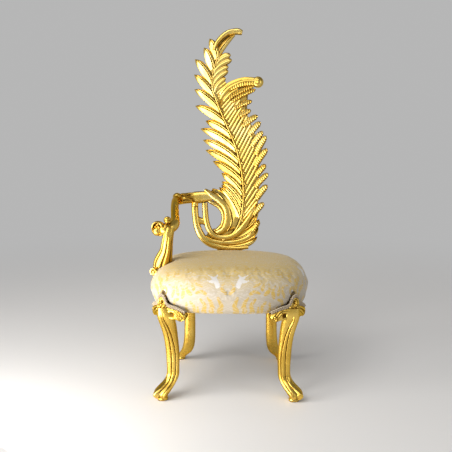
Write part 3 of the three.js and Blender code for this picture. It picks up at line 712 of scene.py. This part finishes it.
def kneeRelief(a, z):  # height, and painted shade beside the ridges and in the hollows, at arcs a and heights z
    high, paintedShade = np.zeros(np.shape(a)), np.zeros(np.shape(a))
    for curve, wide, proud in kneeCurves:
        away = np.min([awayFromSegment(a, z, p, q)[1] for p, q in zip(curve[:-1], curve[1:])], axis=0)
        high = np.maximum(high, proud * np.exp(-(away / wide) ** 2))
        paintedShade = np.maximum(paintedShade, 0.8 * np.exp(-((away - 1.9 * wide) / (0.8 * wide)) ** 2))
        paintedShade = np.where(away < 1.1 * wide, paintedShade * 0.15, paintedShade)
    for a0, z0, radius, proud in kneeBeads:
        away = np.hypot(a - a0, z - z0)
        high = np.maximum(high, proud * np.sqrt(np.clip(1 - (away / radius) ** 2, 0, 1)))
        paintedShade = np.where(away < radius * 0.8, 0, paintedShade)
    for a0, z0, radius, deep in kneeHollows:
        away = np.hypot(a - a0, z - z0)
        dip = np.exp(-(away / radius) ** 4)
        high = high * (1 - dip) - deep * dip
        paintedShade = np.maximum(paintedShade, dip)
    return high, paintedShade


def kneeShell(columns=150, rows=54):
    values = frontLegs
    shares = np.linspace(-1, 1, columns)
    rings, paintedShades = [], []
    for share in shares:
        point, out = planAt(kneeArc(share))
        top, foot = kneeTop(share), kneeFoot(share)
        proud = values["kneeProud"] * smoothKeys([(0, 1.2), (0.3, 0.75), (0.7, 0.55), (0.85, 0.75),
                                                  (1, 0.3)], abs(share))
        heights = np.linspace(1, 0, rows)
        swell = [smoothKeys([(0, 2), (0.08, 0.55 * proud), (0.2, 0.8 * proud), (0.52, proud), (0.88, 0.7 * proud),
                             (0.97, 0.45 * proud), (1, 2)], h) for h in heights]
        z = foot + heights * (top - foot)
        high, paintedShade = kneeRelief(np.full(rows, kneeArc(share)), z)
        edge = np.clip(np.minimum(heights, 1 - heights) / 0.06, 0, 1) * min(1, (1 - abs(share)) / 0.04)
        reach = np.array(swell) + high * edge
        # painted shade on the knee block's inner face
        ring = [(values["kneeInner"], foot, 0.8), (values["kneeInner"], top, 0.8)]
        ring += list(zip(reach, z, paintedShade))
        rings.append([point + out * o + np.array([0, 0, height]) for o, height, t in ring])
        paintedShades.append([t for o, height, t in ring])
    return loftShell(rings, paintedShades)


def frontLegShells():
    p, r = frontLegs["padHigh"], frontLegs["padRadius"]
    foot = [corner[0] - 2, corner[1] - 14, 0]
    # painted shade under the pad, in the groove below its top bead, and under the toe bead
    padProfile = [(0.02, 0, 0.5), (r * 0.93, 0, 0.9), (r, 1.2, 0.6), (r * 1.04, p * 0.35, 0),
                  (r * 1.04, p * 0.6, 0),
                  (r * 0.95, p * 0.85, 0.1), (r * 0.86, p, 0.9), (r * 0.9, p + 1.5, 0.5), (r * 0.98, p + 4, 0.0),
                  (r * 0.9, p + 8, 0.1), (0.02, p + 9, 0.3)]
    toe = [corner[0] - 20, corner[1] - 32, 0]
    bead = [(0.02, 16, 0.3), (8, 17, 0.5), (12, 20, 0.2), (14.5, 26, 0), (13.5, 33, 0), (9, 38, 0), (0.02, 41, 0)]
    return [legShaftShell(), kneeShell(), turnedShell(padProfile, foot), turnedShell(bead, toe, 28)]


buildPair("gilded_front_leg_", frontLegShells(), deepGilding, "leg_front_")
print("front legs carved")


# Rear legs: plain sabre legs, swept back and out

rearLegs = {"splay": 46.0, "sideSplay": 0.95, "inFrom": 0.285, "behind": 0.4, "padRadius": 17.0, "padHigh": 13.0}


def rearLegPlace(swing, z):
    values = rearLegs
    return np.array([-seatWide * values["inFrom"] - swing * values["sideSplay"],
                     seatY + seatDeep * values["behind"] + swing, z])


def rearLegShells():
    values = rearLegs
    swings = [(0, 1), (0.05, 0.9), (0.09, 0.68), (0.13, 0.44), (0.19, 0.22), (0.27, 0.08), (0.4, 0.01), (0.75, 0),
              (1, 0.06)]
    widths = [(0, 34), (0.06, 38), (0.12, 48), (0.2, 51), (0.35, 49), (0.7, 48), (0.9, 54), (1, 61)]
    turns = fullTurn(44)
    rings, paintedShades = [], []
    for share in np.linspace(values["padHigh"] / seatFoot, 1, 44):
        centre = rearLegPlace(values["splay"] * smoothKeys(swings, share), share * seatFoot - 0.3)
        width = smoothKeys(widths, share)
        rings.append(squareRing(centre, width, width, turns, np.zeros(len(turns))))
        # painted shade, darker towards the floor and towards the seat
        paintedShades.append(np.full(len(turns), smoothKeys([(0, 0.6), (0.06, 0.1), (0.9, 0.1), (1, 0.5)], share)))
    # painted shade under the pad and in its top groove
    p, r = values["padHigh"], values["padRadius"]
    profile = [(0.02, 0, 0.5), (r * 0.94, 0, 0.9), (r, 1.2, 0.6), (r * 1.04, p * 0.5, 0),
               (r * 0.95, p * 0.9, 0.2), (r * 0.8, p + 1, 0.9), (0.02, p + 3, 0.5)]
    return [loftShell(rings, paintedShades), turnedShell(profile, rearLegPlace(values["splay"], 0))]


buildPair("gilded_rear_leg_", rearLegShells(), deepGilding, "leg_rear_")
print("rear legs carved")


# Arm: fluted support, hand scroll, and a rail that runs back and turns in to the plume

armValues = {
    "inset": 46.0,
    "front": -60.0,
    "rise": 126.0,
    "scroll": 35.0,
    "flutes": 7,
    "fluteDeep": 2.4,
    "sides": 64,
    "discSides": 72,
    "supportSteps": 70,
    "railSteps": 110,
    "woundSteps": 110,
}
armX = -(seatWide / 2 - armValues["inset"])
armY = seatY + armValues["front"]
handZ = seatCrown + armValues["rise"]
jointCentre = plumePoint(armJoint["x"], armJoint["height"], -plumeThick / 2)


def ovalSection(wide, tall, flutes, deep, turnBy):
    rows = []
    for a in fullTurn(armValues["sides"]):
        cut = deep * (1 - abs(math.cos(0.5 * (flutes * a + turnBy)))) ** 2 * 1.6
        # painted shade in the flutes
        rows.append(((wide / 2 - cut) * math.cos(a), (tall / 2 - cut) * math.sin(a),
                     min(1, cut / armValues["fluteDeep"])))
    return rows


def supportShell():
    points = [(-1, -46), (0, -36), (3, -12), (11, 16), (20, 46), (25, 78), (30, 108), (36, 138)]
    path = [(armX + x, armY + 12 * math.sin(k * 0.8), seatCrown - 10 + z) for k, (x, z) in enumerate(points)]
    wide = [(0, 66), (0.2, 74), (0.32, 70), (0.5, 54), (0.75, 45), (1, 40)]
    deep = [(0, 58), (0.3, 56), (0.6, 44), (1, 40)]
    fade = [(0, 1.2), (0.4, 1), (0.75, 0.7), (0.95, 0.2), (1, 0)]
    return sweepShell(path, armValues["supportSteps"], np.array([0, 1.0, 0]), lambda u, run: ovalSection(
        smoothKeys(wide, u), smoothKeys(deep, u), armValues["flutes"],
        armValues["fluteDeep"] * smoothKeys(fade, u), 1.2 + 1.5 * u))


def railShell():
    path = [
        (armX - 2, armY - 2, handZ),
        (armX + 30, armY + 4, handZ - 2),
        (armX + 52, armY + 34, handZ + 12),
        (armX + 48, armY + 90, handZ + 40),
        (armX + 40, armY + 170, handZ + 70),
        (armX + 34, jointCentre[1] - 62, handZ + 80),
        (armX + 44, jointCentre[1] - 22, jointCentre[2] - 6),
        (armX + 76, jointCentre[1] - 4, jointCentre[2] - 2),
        (jointCentre[0] - armJoint["gap"], jointCentre[1], jointCentre[2]),
    ]
    wide = [(0, 26), (0.12, 36), (0.3, 34), (0.7, 34), (0.86, 38), (1, armJoint["deep"])]
    tall = [(0, 30), (0.12, 44), (0.3, 40), (0.6, 42), (0.8, 46), (1, armJoint["tall"] - 4)]
    cuts = [(0, 0), (0.1, 0.2), (0.3, 0.3), (0.7, 0.3), (0.84, 1.6), (0.97, 2.0), (1, 0.6)]
    shell = sweepShell(path, armValues["railSteps"], np.array([0, 0, 1.0]), lambda u, run: ovalSection(
        smoothKeys(wide, u), smoothKeys(tall, u), 5,
        smoothKeys(cuts, u), 2.2 + 2.5 * u))
    points, faces, paintedShade = shell
    points[:, 0] = np.minimum(points[:, 0], jointCentre[0] - armJoint["gap"])
    return points, faces, paintedShade


discHalf = [(0.02, 1.02), (0.16, 1.0), (0.27, 0.9), (0.33, 0.72), (0.42, 0.62), (0.52, 0.66), (0.62, 0.78),
            (0.74, 0.88), (0.86, 0.86), (0.95, 0.66), (1.0, 0.34)]  # share of the radius, share of half the width


def discShell(radius, wide, place, turn, spiral=2.6):  # scroll end with a spiral on each face
    half = wide / 2
    profile = [(share, -half * x) for share, x in discHalf] + [(share, half * x) for share, x in discHalf[::-1]]
    rings, paintedShades = [], []
    for share, x in profile:
        ring, paintedShade = [], []
        for a in fullTurn(armValues["discSides"]):
            wind = math.cos(a - spiral * 2 * math.pi * share) if 0.2 < share < 0.9 else 0
            push = 1 - 0.16 * max(0, -wind) if abs(x) > half * 0.4 else 1
            ring.append([x * push, radius * share * math.cos(a), radius * share * math.sin(a)])
            # painted shade in the spiral groove and in a ring groove round the eye
            paintedShade.append(min(1, max(0, -wind) * 0.7 + (0.75 if 0.3 < share < 0.5 else 0)))
        rings.append(ring)
        paintedShades.append(paintedShade)
    c, s = math.cos(turn), math.sin(turn)
    return moveShell(loftShell(rings, paintedShades), [[c, -s, 0], [s, c, 0], [0, 0, 1]], place)


def woundShell(place, facing, radius, turns, wide, thick):  # band wound inwards, its face towards facing
    n = np.array(facing) / np.linalg.norm(facing)
    e2 = np.array([0, 0, 1.0])
    e1 = np.cross(n, e2)
    steps = armValues["woundSteps"]
    rings, paintedShades = [], []
    for k in range(steps + 1):
        u = k / steps
        angle = math.radians(20) + 2 * math.pi * turns * u
        away = radius * (1 - 0.62 * u ** 1.15)
        radial = e1 * math.cos(angle) * -1 + e2 * math.sin(angle)
        centre = np.array(place) + radial * away + n * 5 * u
        half, deep = wide / 2 * (1 - 0.35 * u), thick / 2 * (1 - 0.45 * u)
        ring, paintedShade = [], []
        for j in range(18):
            a = 2 * math.pi * j / 18
            ring.append(centre + n * half * math.cos(a) + radial * deep * math.sin(a))
            # painted shade on the band's inner side
            paintedShade.append(max(0.0, -math.sin(a)) * 0.85)
        rings.append(ring)
        paintedShades.append(paintedShade)
    return loftShell(rings, paintedShades)


def ribbedBall(place, radius, ribs):
    turns = fullTurn(64)
    rings, paintedShades = [], []
    for r in range(1, ballRows):
        level, high = math.sin(math.pi * r / ballRows), math.cos(math.pi * r / ballRows)
        cut = (1 - np.abs(np.cos(ribs / 2 * turns))) ** 2 * 0.16 * level
        ring = np.stack([np.full(64, high), np.cos(turns) * level, np.sin(turns) * level], axis=1)
        rings.append(ring * (radius * (1 - cut))[:, None] + np.array(place))
        # painted shade between the ribs
        paintedShades.append(np.clip(cut * 7, 0, 1))
    return loftShell(rings, paintedShades)


strapWide, strapHigh, strapUp = [(0, 5), (0.4, 13), (1, 3)], 5, (-0.1, -0.98, 0.2)


def strapShell(points):  # carved strap lying on the wood
    # painted shade on the strap's edges and underside
    return sweepShell(points, 24, np.array(strapUp), lambda u, run: [
        (c * smoothKeys(strapWide, u), h * strapHigh, t) for c, h, t in (
            (-0.5, -1, 0.9), (-0.42, 0.1, 0.3), (-0.2, 0.75, 0), (0, 0.55, 0.25), (0.2, 0.75, 0),
            (0.42, 0.1, 0.3), (0.5, -1, 0.9), (0.3, -1.6, 0.9), (-0.3, -1.6, 0.9))])


def armShells():
    values = armValues
    hand = [armX - 10, armY - 4, handZ]
    footEnd = [armX - 26, armY - 24, seatCrown - 44]
    leaf = [[(armX + 44 + 7 * k, jointCentre[1] - 34 + 5 * k, jointCentre[2] + 16 - 5 * k),
             (armX + 66 + 9 * k, jointCentre[1] - 20, jointCentre[2] + 17 - 9 * k),
             (armX + 96 + 8 * k, jointCentre[1] - 15, jointCentre[2] + 12 - 13 * k)] for k in range(3)]
    shells = [
        supportShell(),
        railShell(),
        woundShell([hand[0], hand[1], hand[2] - 3], (-0.62, -0.78, 0.08), values["scroll"] - 4, 1.3, 26, 11),
        ballShell([hand[0] - 4, hand[1] - 8, hand[2] - 9], 18, (1, 1, 1.05)),
        discShell(values["scroll"] - 7, 14, [hand[0] + 5, hand[1] + 4, hand[2] - 3], 0.9),
        ballShell([armX + 17, armY - 6, handZ - 3], 1, (27, 22, 25)),
        ballShell([armX + 36, jointCentre[1] - 34, jointCentre[2] + 8], 19, (1, 1, 0.9)),
        ribbedBall([armX + 27, armY - 4, handZ + 34], 15, 9),
        discShell(17, 20, footEnd, 1.15, 1.3),
    ]
    return shells + [strapShell(points) for points in leaf]


buildPiece("gilded_arm", armShells(), deepGilding, ["arm"])
print("arm carved")


# Gimp: three strands plaited along the top outline of each knee

gimpValues = {
    "strand": 3.3,
    "swing": 4.2,
    "weave": 2.2,
    "pitch": 29.0,
    "steps": 170,
    "colour": (0.2, 0.15, 0.095),
    "pale": (0.52, 0.43, 0.31),
    # colour of the painted shade between and under the strands
    "gap": (0.035, 0.026, 0.018),
}


def gimpMaterial(name):
    material, tree, shader = newMaterial(name)
    where = objectPlace(tree)
    fibre = noiseNode(tree, where, 700, 3, 0.6)
    patch = mathNode(tree, "MULTIPLY", noiseNode(tree, where, 60, 2, 0.5), 0.35)
    share = mathNode(tree, "MULTIPLY_ADD", fibre, 0.7, patch, clamp=True)
    colour = mixNode(tree, share, gimpValues["colour"], gimpValues["pale"])
    # painted shade mixes the strand colour to the dark gap colour
    strandShade = mathNode(tree, "MULTIPLY", attributeNode(tree, "paintedShade"), 0.8, clamp=True)
    setInputs(tree, shader, {
        "Base Color": mixNode(tree, strandShade, colour, gimpValues["gap"]),
        "Roughness": 0.72,
        "Normal": bumpNode(tree, fibre, 0.5, 0.0006),
    })
    return material


def seatInset(height):
    return smoothKeys(seatProfile, (height - seatFoot) / (seatCrown - seatFoot))


def gimpShells():
    values = gimpValues
    strand, steps = values["strand"], values["steps"]
    path = []
    for share in np.linspace(-0.96, 0.96, 25):
        point, out = planAt(kneeArc(share))
        z = kneeTop(share) + 4
        path.append(point + out * (5.5 - 0.3 * seatInset(z)) + np.array([0, 0, z]))
    spine, across, lift, length = spineFrames(path, steps, np.array([-1, -1, 0]) * math.sqrt(0.5))
    around = fullTurn(10)
    shells = []
    for phase in fullTurn(3):
        rings, paintedShades = [], []
        for k in range(len(spine)):
            turn = 2 * math.pi * k / steps * length / values["pitch"] + phase
            wander = across[k] * values["swing"] * math.sin(turn) + lift[k] * values["weave"] * math.sin(2 * turn)
            ring = np.outer(np.cos(around), across[k]) + np.outer(np.sin(around), lift[k])
            rings.append(spine[k] + wander + strand * ring)
            # painted shade on each strand's side against the knee and where it dips under the others
            paintedShades.append(np.clip(0.35 - 0.8 * np.sin(around) - 0.5 * math.sin(2 * turn), 0, 1))
        shells.append(loftShell(rings, paintedShades))
    return shells


buildPair("gimp_braid_", gimpShells(), gimpMaterial("gimp_braid"), "braid_", 80)
print("gimp plaited")


# Seat: the upholstered solid remeshed, puffed up as cloth, and dressed in a mirrored damask

seatPad = {
    "voxel": 0.005,
    "pressure": 4.0,
    "moveCap": 0.006,
    "repeat": 172.0,
    "patternFoot": 416.0,
    "silverDrop": 6.0,
    "ground": (0.41, 0.375, 0.33),
    "figure": (0.52, 0.345, 0.07),
    "top": (0.58, 0.42, 0.135),
    "lace": (0.52, 0.47, 0.39),
    "silver": (0.6, 0.585, 0.575),
    "thread": (0.98, 0.93, 0.8),
    "threadScale": 260,
    "dust": (0.05, 0.045, 0.04),
    "dustPale": (0.11, 0.1, 0.09),
    "clothFrames": 20,
    "tension": 15,
    "bending": 1,
    "crownFrom": 0.82,
}
seatTall = seatCrown - seatFoot


crownZ = seatFoot + seatPad["crownFrom"] * seatTall


def seatShape(x, y, inset):  # under 1 inside the plan drawn in by inset
    wide, deep = seatWide / 2 - inset, seatDeep / 2 - inset
    return (np.abs(x / wide) ** squareness + np.abs(y / deep) ** squareness) ** (1 / squareness)


profileShare = np.linspace(0, 1, 241)
profileInset = np.array([smoothKeys(seatProfile, share) for share in profileShare])
profileZ = seatFoot + profileShare * seatTall


def smoothSeat(points):  # facets of the solid are drawn onto the smooth outline
    x, y, z = points[:, 0], points[:, 1] - seatY, points[:, 2]
    inset = np.interp(z, profileZ, profileInset)
    ratio = seatShape(x, y, inset)
    side = (np.abs(ratio - 1) < 0.022) & (z < crownZ) & (z > seatFoot + 2)
    points[side, 0] /= ratio[side]
    points[side, 1] = y[side] / ratio[side] + seatY
    low, high = np.full(len(z), 0.0), np.full(len(z), seatDeep / 2 - 1)
    for step in range(26):
        middle = (low + high) / 2
        inside = seatShape(x, y, middle) < 1
        low, high = np.where(inside, middle, low), np.where(inside, high, middle)
    upper = profileShare > 0.6
    level = np.interp(low, profileInset[upper], profileZ[upper])
    crown = (z >= crownZ) & (np.abs(z - level) < 6)
    points[crown, 2] = level[crown]
    return points


def readPoints(mesh):
    flat = np.empty(len(mesh.vertices) * 3)
    mesh.vertices.foreach_get("co", flat)
    return flat.reshape(-1, 3)


def writePoints(mesh, points):
    mesh.vertices.foreach_set("co", points.reshape(-1))
    mesh.update()


def applyModifier(piece, kind, **settings):
    modifier = piece.modifiers.new(kind.lower(), kind)
    for key, value in settings.items():
        setattr(modifier, key, value)
    bpy.context.view_layer.objects.active = piece
    bpy.ops.object.modifier_apply(modifier=modifier.name)


def puffUp(piece):  # cloth with pressure, then its movement is capped
    before = readPoints(piece.data)
    modifier = piece.modifiers.new("cloth", "CLOTH")
    settings = modifier.settings
    settings.use_pressure = True
    settings.uniform_pressure_force = seatPad["pressure"]
    settings.effector_weights.gravity = 0
    settings.tension_stiffness = seatPad["tension"]
    settings.bending_stiffness = seatPad["bending"]
    modifier.point_cache.frame_start = 1
    modifier.point_cache.frame_end = seatPad["clothFrames"]
    for step in range(1, seatPad["clothFrames"] + 1):
        bpy.context.scene.frame_set(step)
    shaped = piece.evaluated_get(bpy.context.evaluated_depsgraph_get())
    after = readPoints(shaped.data)
    piece.modifiers.remove(modifier)
    bpy.context.scene.frame_set(1)
    move = after - before
    length = np.linalg.norm(move, axis=1)[:, None]
    writePoints(piece.data, before + move * np.minimum(1, seatPad["moveCap"] / np.maximum(length, 1e-9)))


# Strokes of the figure, drawn for one half of the repeat: points (across, up), half width at foot and tip
flames = [
    ([(24, 4), (34, 26), (26, 48), (38, 76)], 11, 3),
    ([(60, 0), (72, 24), (64, 50), (80, 80)], 12, 3),
    ([(100, 6), (108, 30), (98, 54), (112, 78)], 11, 3),
    ([(136, -4), (140, 24), (132, 50)], 9, 3),
    ([(2, -6), (1, 14)], 5, 1),
    ([(8, 96), (22, 112), (18, 132), (6, 140)], 6, 3),
    ([(30, 172), (48, 184), (76, 180), (88, 166), (78, 156)], 6, 3),
    ([(100, 128), (120, 140), (124, 160), (108, 172)], 6, 3),
    ([(88, 96), (104, 108), (126, 104)], 6, 3),
    ([(134, 120), (140, 150)], 7, 2),
    ([(150, 6), (158, 30), (150, 56), (162, 78)], 9, 3),
    ([(150, 104), (164, 124), (158, 148)], 7, 2),
    ([(4, 160), (10, 182)], 7, 2),
]
silverLeaves = [
    ([(38, 130), (48, 154), (74, 180)], 12, 3),
    ([(50, 152), (46, 170), (38, 186)], 9, 2),
    ([(50, 152), (66, 150), (84, 158)], 8, 2),
    ([(44, 142), (42, 126), (34, 114)], 6, 1),
]
patternTall = 190.0


def strokeField(across, up, strokes):  # over 0 inside a stroke
    field = np.full(np.shape(across), -40.0)
    for line, foot, tip in strokes:
        curve = curvePoints(line, 14)
        last = len(curve) - 1
        for k in range(last):
            along, away = awayFromSegment(across, up, curve[k], curve[k + 1])
            half = foot + (tip - foot) * abs((k + along) / last * 1.4 - 0.4)
            field = np.maximum(field, half - away)
    return field


def clothPlace(points):  # cloth coordinates in mm: the plan, pulled down over the edge
    x, y, z = points[:, 0], points[:, 1] - seatY, points[:, 2]
    step = np.hypot(np.diff(profileInset), np.diff(profileZ))
    fall = np.concatenate([np.cumsum(step[::-1])[::-1], [0]])  # path from the crown
    spare = fall - (profileInset[-1] - profileInset)
    drop = np.interp(z, profileZ, spare)
    wide, deep = seatWide / 2, seatDeep / 2
    nx = np.sign(x) * np.abs(x / wide) ** (squareness - 1) / wide
    ny = np.sign(y) * np.abs(y / deep) ** (squareness - 1) / deep
    size = np.maximum(np.hypot(nx, ny), 1e-9)
    return x + nx / size * drop, y + ny / size * drop


def threadNode(tree, where, bands):
    values = {"Vector": where, "Scale": seatPad["threadScale"]}
    return addNode(tree, "ShaderNodeTexWave", values, bands_direction=bands).outputs["Fac"]


def strokeMask(tree, name, fray, fraying, shift, gain, stops):  # a painted stroke with its edge frayed
    field = mathNode(tree, "ADD", attributeNode(tree, name), shift)
    ragged = mathNode(tree, "MULTIPLY_ADD", fray, fraying, field)
    low, high = stops
    return rampNode(tree, mathNode(tree, "MULTIPLY_ADD", ragged, gain, 0.5, clamp=True),
                    [(low, black), (high, white)])


def damaskMaterial(name):
    values = seatPad
    material, tree, shader = newMaterial(name)
    cloth = addNode(tree, "ShaderNodeUVMap", {}, uv_map="cloth").outputs["UV"]
    parts = addNode(tree, "ShaderNodeSeparateXYZ", {"Vector": cloth})
    mirrored = mathNode(tree, "PINGPONG", parts.outputs["X"], values["repeat"] * unit)
    spot = addNode(tree, "ShaderNodeCombineXYZ", {"X": mirrored, "Y": parts.outputs["Y"]}).outputs["Vector"]
    fray = noiseNode(tree, spot, 140, 3, 0.6)
    figure = strokeMask(tree, "figure", fray, 9.0, -3.0, 0.22, (0.3, 0.62))
    frost = strokeMask(tree, "silver", fray, 16.0, -9.5, 0.2, (0.4, 0.7))
    swirl = addNode(tree, "ShaderNodeTexWave", {
        "Vector": spot, "Scale": 22, "Distortion": 14, "Detail": 2, "Detail Scale": 1.6}, wave_type="RINGS")
    lace = rampNode(tree, swirl.outputs["Fac"], [(0.74, black), (0.86, white)])
    plain = mathNode(tree, "MULTIPLY", attributeNode(tree, "plain"), 0.9)
    cloudy = mathNode(tree, "MULTIPLY", noiseNode(tree, spot, 24, 3, 0.55), 0.35)
    weave = mathNode(tree, "MULTIPLY", threadNode(tree, cloth, "X"), threadNode(tree, cloth, "Y"))
    # towards the top, fully from nine tenths of the seat's height, the colour is mixed to a more golden one
    colour = mixNode(tree, plain, values["ground"], values["top"])
    colour = mixNode(tree, cloudy, colour, values["figure"])
    colour = mixNode(tree, figure, colour, values["figure"])
    colour = mixNode(tree, mathNode(tree, "MULTIPLY", lace, 0.55), colour, values["lace"])
    colour = mixNode(tree, mathNode(tree, "MULTIPLY", frost, 0.85), colour, values["silver"])
    colour = mixNode(tree, mathNode(tree, "MULTIPLY", weave, 0.1), colour, values["thread"])
    relief = mathNode(tree, "MULTIPLY_ADD", lace, 0.8, mathNode(tree, "MULTIPLY_ADD", figure, 1.6, weave))
    setInputs(tree, shader, {
        "Base Color": colour,
        "Roughness": rangeNode(tree, mathNode(tree, "MAXIMUM", figure, frost), 0.62, 0.42),
        "Normal": bumpNode(tree, relief, 0.35, 0.0005),
        "Sheen Weight": 0.25,
        "Sheen Roughness": 0.35,
    })
    return material


def dustMaterial(name):
    material, tree, shader = newMaterial(name)
    fibre = noiseNode(tree, objectPlace(tree), 900, 3, 0.6)
    setInputs(tree, shader, {
        "Base Color": mixNode(tree, fibre, seatPad["dust"], seatPad["dustPale"]),
        "Roughness": 0.95,
        "Normal": bumpNode(tree, fibre, 0.4, 0.0004),
    })
    return material


def buildSeat():
    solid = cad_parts["seat"]
    piece = bpy.data.objects.new("damask_seat", solid.data.copy())
    bpy.context.collection.objects.link(piece)
    piece.matrix_world = solid.matrix_world
    bpy.context.view_layer.objects.active = piece
    piece.select_set(True)
    bpy.ops.object.mode_set(mode="EDIT")
    bpy.ops.mesh.select_all(action="SELECT")
    bpy.ops.mesh.remove_doubles(threshold=0.00001)
    bpy.ops.object.mode_set(mode="OBJECT")
    applyModifier(piece, "REMESH", mode="VOXEL", voxel_size=seatPad["voxel"], use_smooth_shade=True)
    writePoints(piece.data, smoothSeat(readPoints(piece.data) / unit) * unit)
    puffUp(piece)
    applyModifier(piece, "SUBSURF", levels=1, render_levels=1)
    points = readPoints(piece.data)
    points[:, 2] = np.maximum(points[:, 2], seatFoot * unit)
    writePoints(piece.data, points)
    mm = points / unit
    across, along = clothPlace(mm)
    folded = seatPad["repeat"] - np.abs(np.abs(across) % (2 * seatPad["repeat"]) - seatPad["repeat"])
    up = (along + seatPad["patternFoot"]) % patternTall
    silverUp = (up + seatPad["silverDrop"]) % patternTall
    mesh = piece.data
    side = np.clip((seatFoot + 0.9 * seatTall - mm[:, 2]) / 60, 0, 1)
    silverSide = np.clip((seatFoot + 0.98 * seatTall - mm[:, 2]) / 20, 0, 1)
    for name, values in (("figure", strokeField(folded, up, flames) - 6 * (1 - side)),
                         ("silver", strokeField(folded, silverUp, silverLeaves) - 30 * (1 - silverSide)),
                         ("plain", 1 - side)):
        mesh.attributes.new(name, "FLOAT", "POINT").data.foreach_set("value", values.astype(float))
    layer = mesh.uv_layers.new(name="cloth")
    corners = np.empty(len(mesh.loops), dtype=int)
    mesh.loops.foreach_get("vertex_index", corners)
    layer.data.foreach_set("uv", (np.stack([across, along], axis=1)[corners] * unit).reshape(-1))
    mesh.materials.clear()
    mesh.materials.append(damaskMaterial("gold_damask"))
    mesh.materials.append(dustMaterial("dust_cloth"))
    heights = mm[:, 2]
    for face in mesh.polygons:
        if max(heights[v] for v in face.vertices) < seatFoot + 1.5:
            face.material_index = 1
    bpy.ops.object.shade_smooth()
    piece.select_set(False)
    dressPiece(piece, ["seat"])


buildSeat()
print("seat upholstered")


# Floor, backdrop, lights and camera

studio = {
    "floor": (0.8, 0.785, 0.77),
    "floorSize": 40.0,
    "fadeFrom": 1.3,
    "fadeTo": 4.2,
    "background": 0.47,
    "overhead": 0.2,
    "sun": 1.05,
    "key": 36.0,
    "low": 27.0,
    "left": 30.0,
    "fill": 10.0,
}
backdrop = (studio["background"],) * 3


def floorMaterial(name):  # pale floor that fades into the backdrop far from the chair
    material, tree, shader = newMaterial(name)
    setInputs(tree, shader, {"Base Color": studio["floor"], "Roughness": 0.5})
    away = addNode(tree, "ShaderNodeVectorMath", {0: objectPlace(tree)}, operation="LENGTH")
    fade = addNode(tree, "ShaderNodeMapRange", {
        "Value": away.outputs["Value"], "From Min": studio["fadeFrom"], "From Max": studio["fadeTo"],
    }, interpolation_type="SMOOTHSTEP")
    glow = addNode(tree, "ShaderNodeEmission", {"Color": backdrop})
    blend = addNode(tree, "ShaderNodeMixShader", {
        0: fade.outputs["Result"], 1: shader.outputs["BSDF"], 2: glow.outputs["Emission"]})
    setInputs(tree, tree.nodes["Material Output"], {"Surface": blend.outputs["Shader"]})
    return material


bpy.ops.mesh.primitive_plane_add(size=studio["floorSize"], location=(0, 0, 0))
floor = bpy.context.active_object
floor.name = "studio_floor"
floor.data.materials.append(floorMaterial("pale_floor"))
floor.select_set(False)


def addLight(name, place, target, size, power, colour):
    light = bpy.data.lights.new(name, "AREA")
    light.shape = "RECTANGLE"
    light.size, light.size_y = size
    light.energy = power
    light.color = colour
    obj = bpy.data.objects.new(name, light)
    obj.location = place
    obj.rotation_euler = (Vector(target) - Vector(place)).to_track_quat("-Z", "Y").to_euler()
    obj.visible_camera = False
    bpy.context.collection.objects.link(obj)


addLight("key_light", (-1.7, -2.3, 2.4), (0, 0, 0.7), (1.3, 1.3), studio["key"], (1, 0.98, 0.95))
addLight("low_light", (-0.85, -0.7, 0.08), (0, 0.25, 1.2), (1.0, 1.0), studio["low"], (1, 0.98, 0.95))
addLight("left_light", (-2.0, -1.05, 0.95), (-0.1, 0.25, 1.15), (1.0, 1.4), studio["left"], (1, 0.98, 0.95))
addLight("fill_light", (2.2, -1.7, 1.5), (0, 0, 0.6), (0.9, 1.8), studio["fill"], (0.96, 0.98, 1))
daylight = bpy.data.lights.new("daylight", "SUN")
daylight.energy = studio["sun"]
daylight.angle = 0.9
daylightObject = bpy.data.objects.new("daylight", daylight)
daylightObject.rotation_euler = (math.radians(32), math.radians(-18), 0)
bpy.context.collection.objects.link(daylightObject)

world = bpy.data.worlds.new("studio_world")
world.use_nodes = True
tree = world.node_tree
generated = tree.nodes.new("ShaderNodeTexCoord").outputs["Generated"]
direction = addNode(tree, "ShaderNodeSeparateXYZ", {"Vector": generated})
overhead = (studio["overhead"],) * 3
sky = rampNode(tree, direction.outputs["Z"], [(0.0, backdrop), (0.16, backdrop), (0.6, overhead)])
setInputs(tree, tree.nodes["Background"], {"Color": sky})
bpy.context.scene.world = world
bpy.context.scene.view_settings.view_transform = "Standard"

photoCamera = {"lens": 57.82, "x": 0.062, "before": 2.914, "height": 1.054, "down": 7.92, "turn": 1.5}
view = bpy.data.cameras.new("photo_camera")
view.lens = photoCamera["lens"]
view.sensor_width = 36
cameraObject = bpy.data.objects.new("photo_camera", view)
cameraObject.location = (photoCamera["x"], seatY * unit - photoCamera["before"], photoCamera["height"])
cameraObject.rotation_euler = (math.radians(90 - photoCamera["down"]), 0, math.radians(photoCamera["turn"]))
bpy.context.collection.objects.link(cameraObject)
bpy.context.scene.camera = cameraObject
print("studio set")
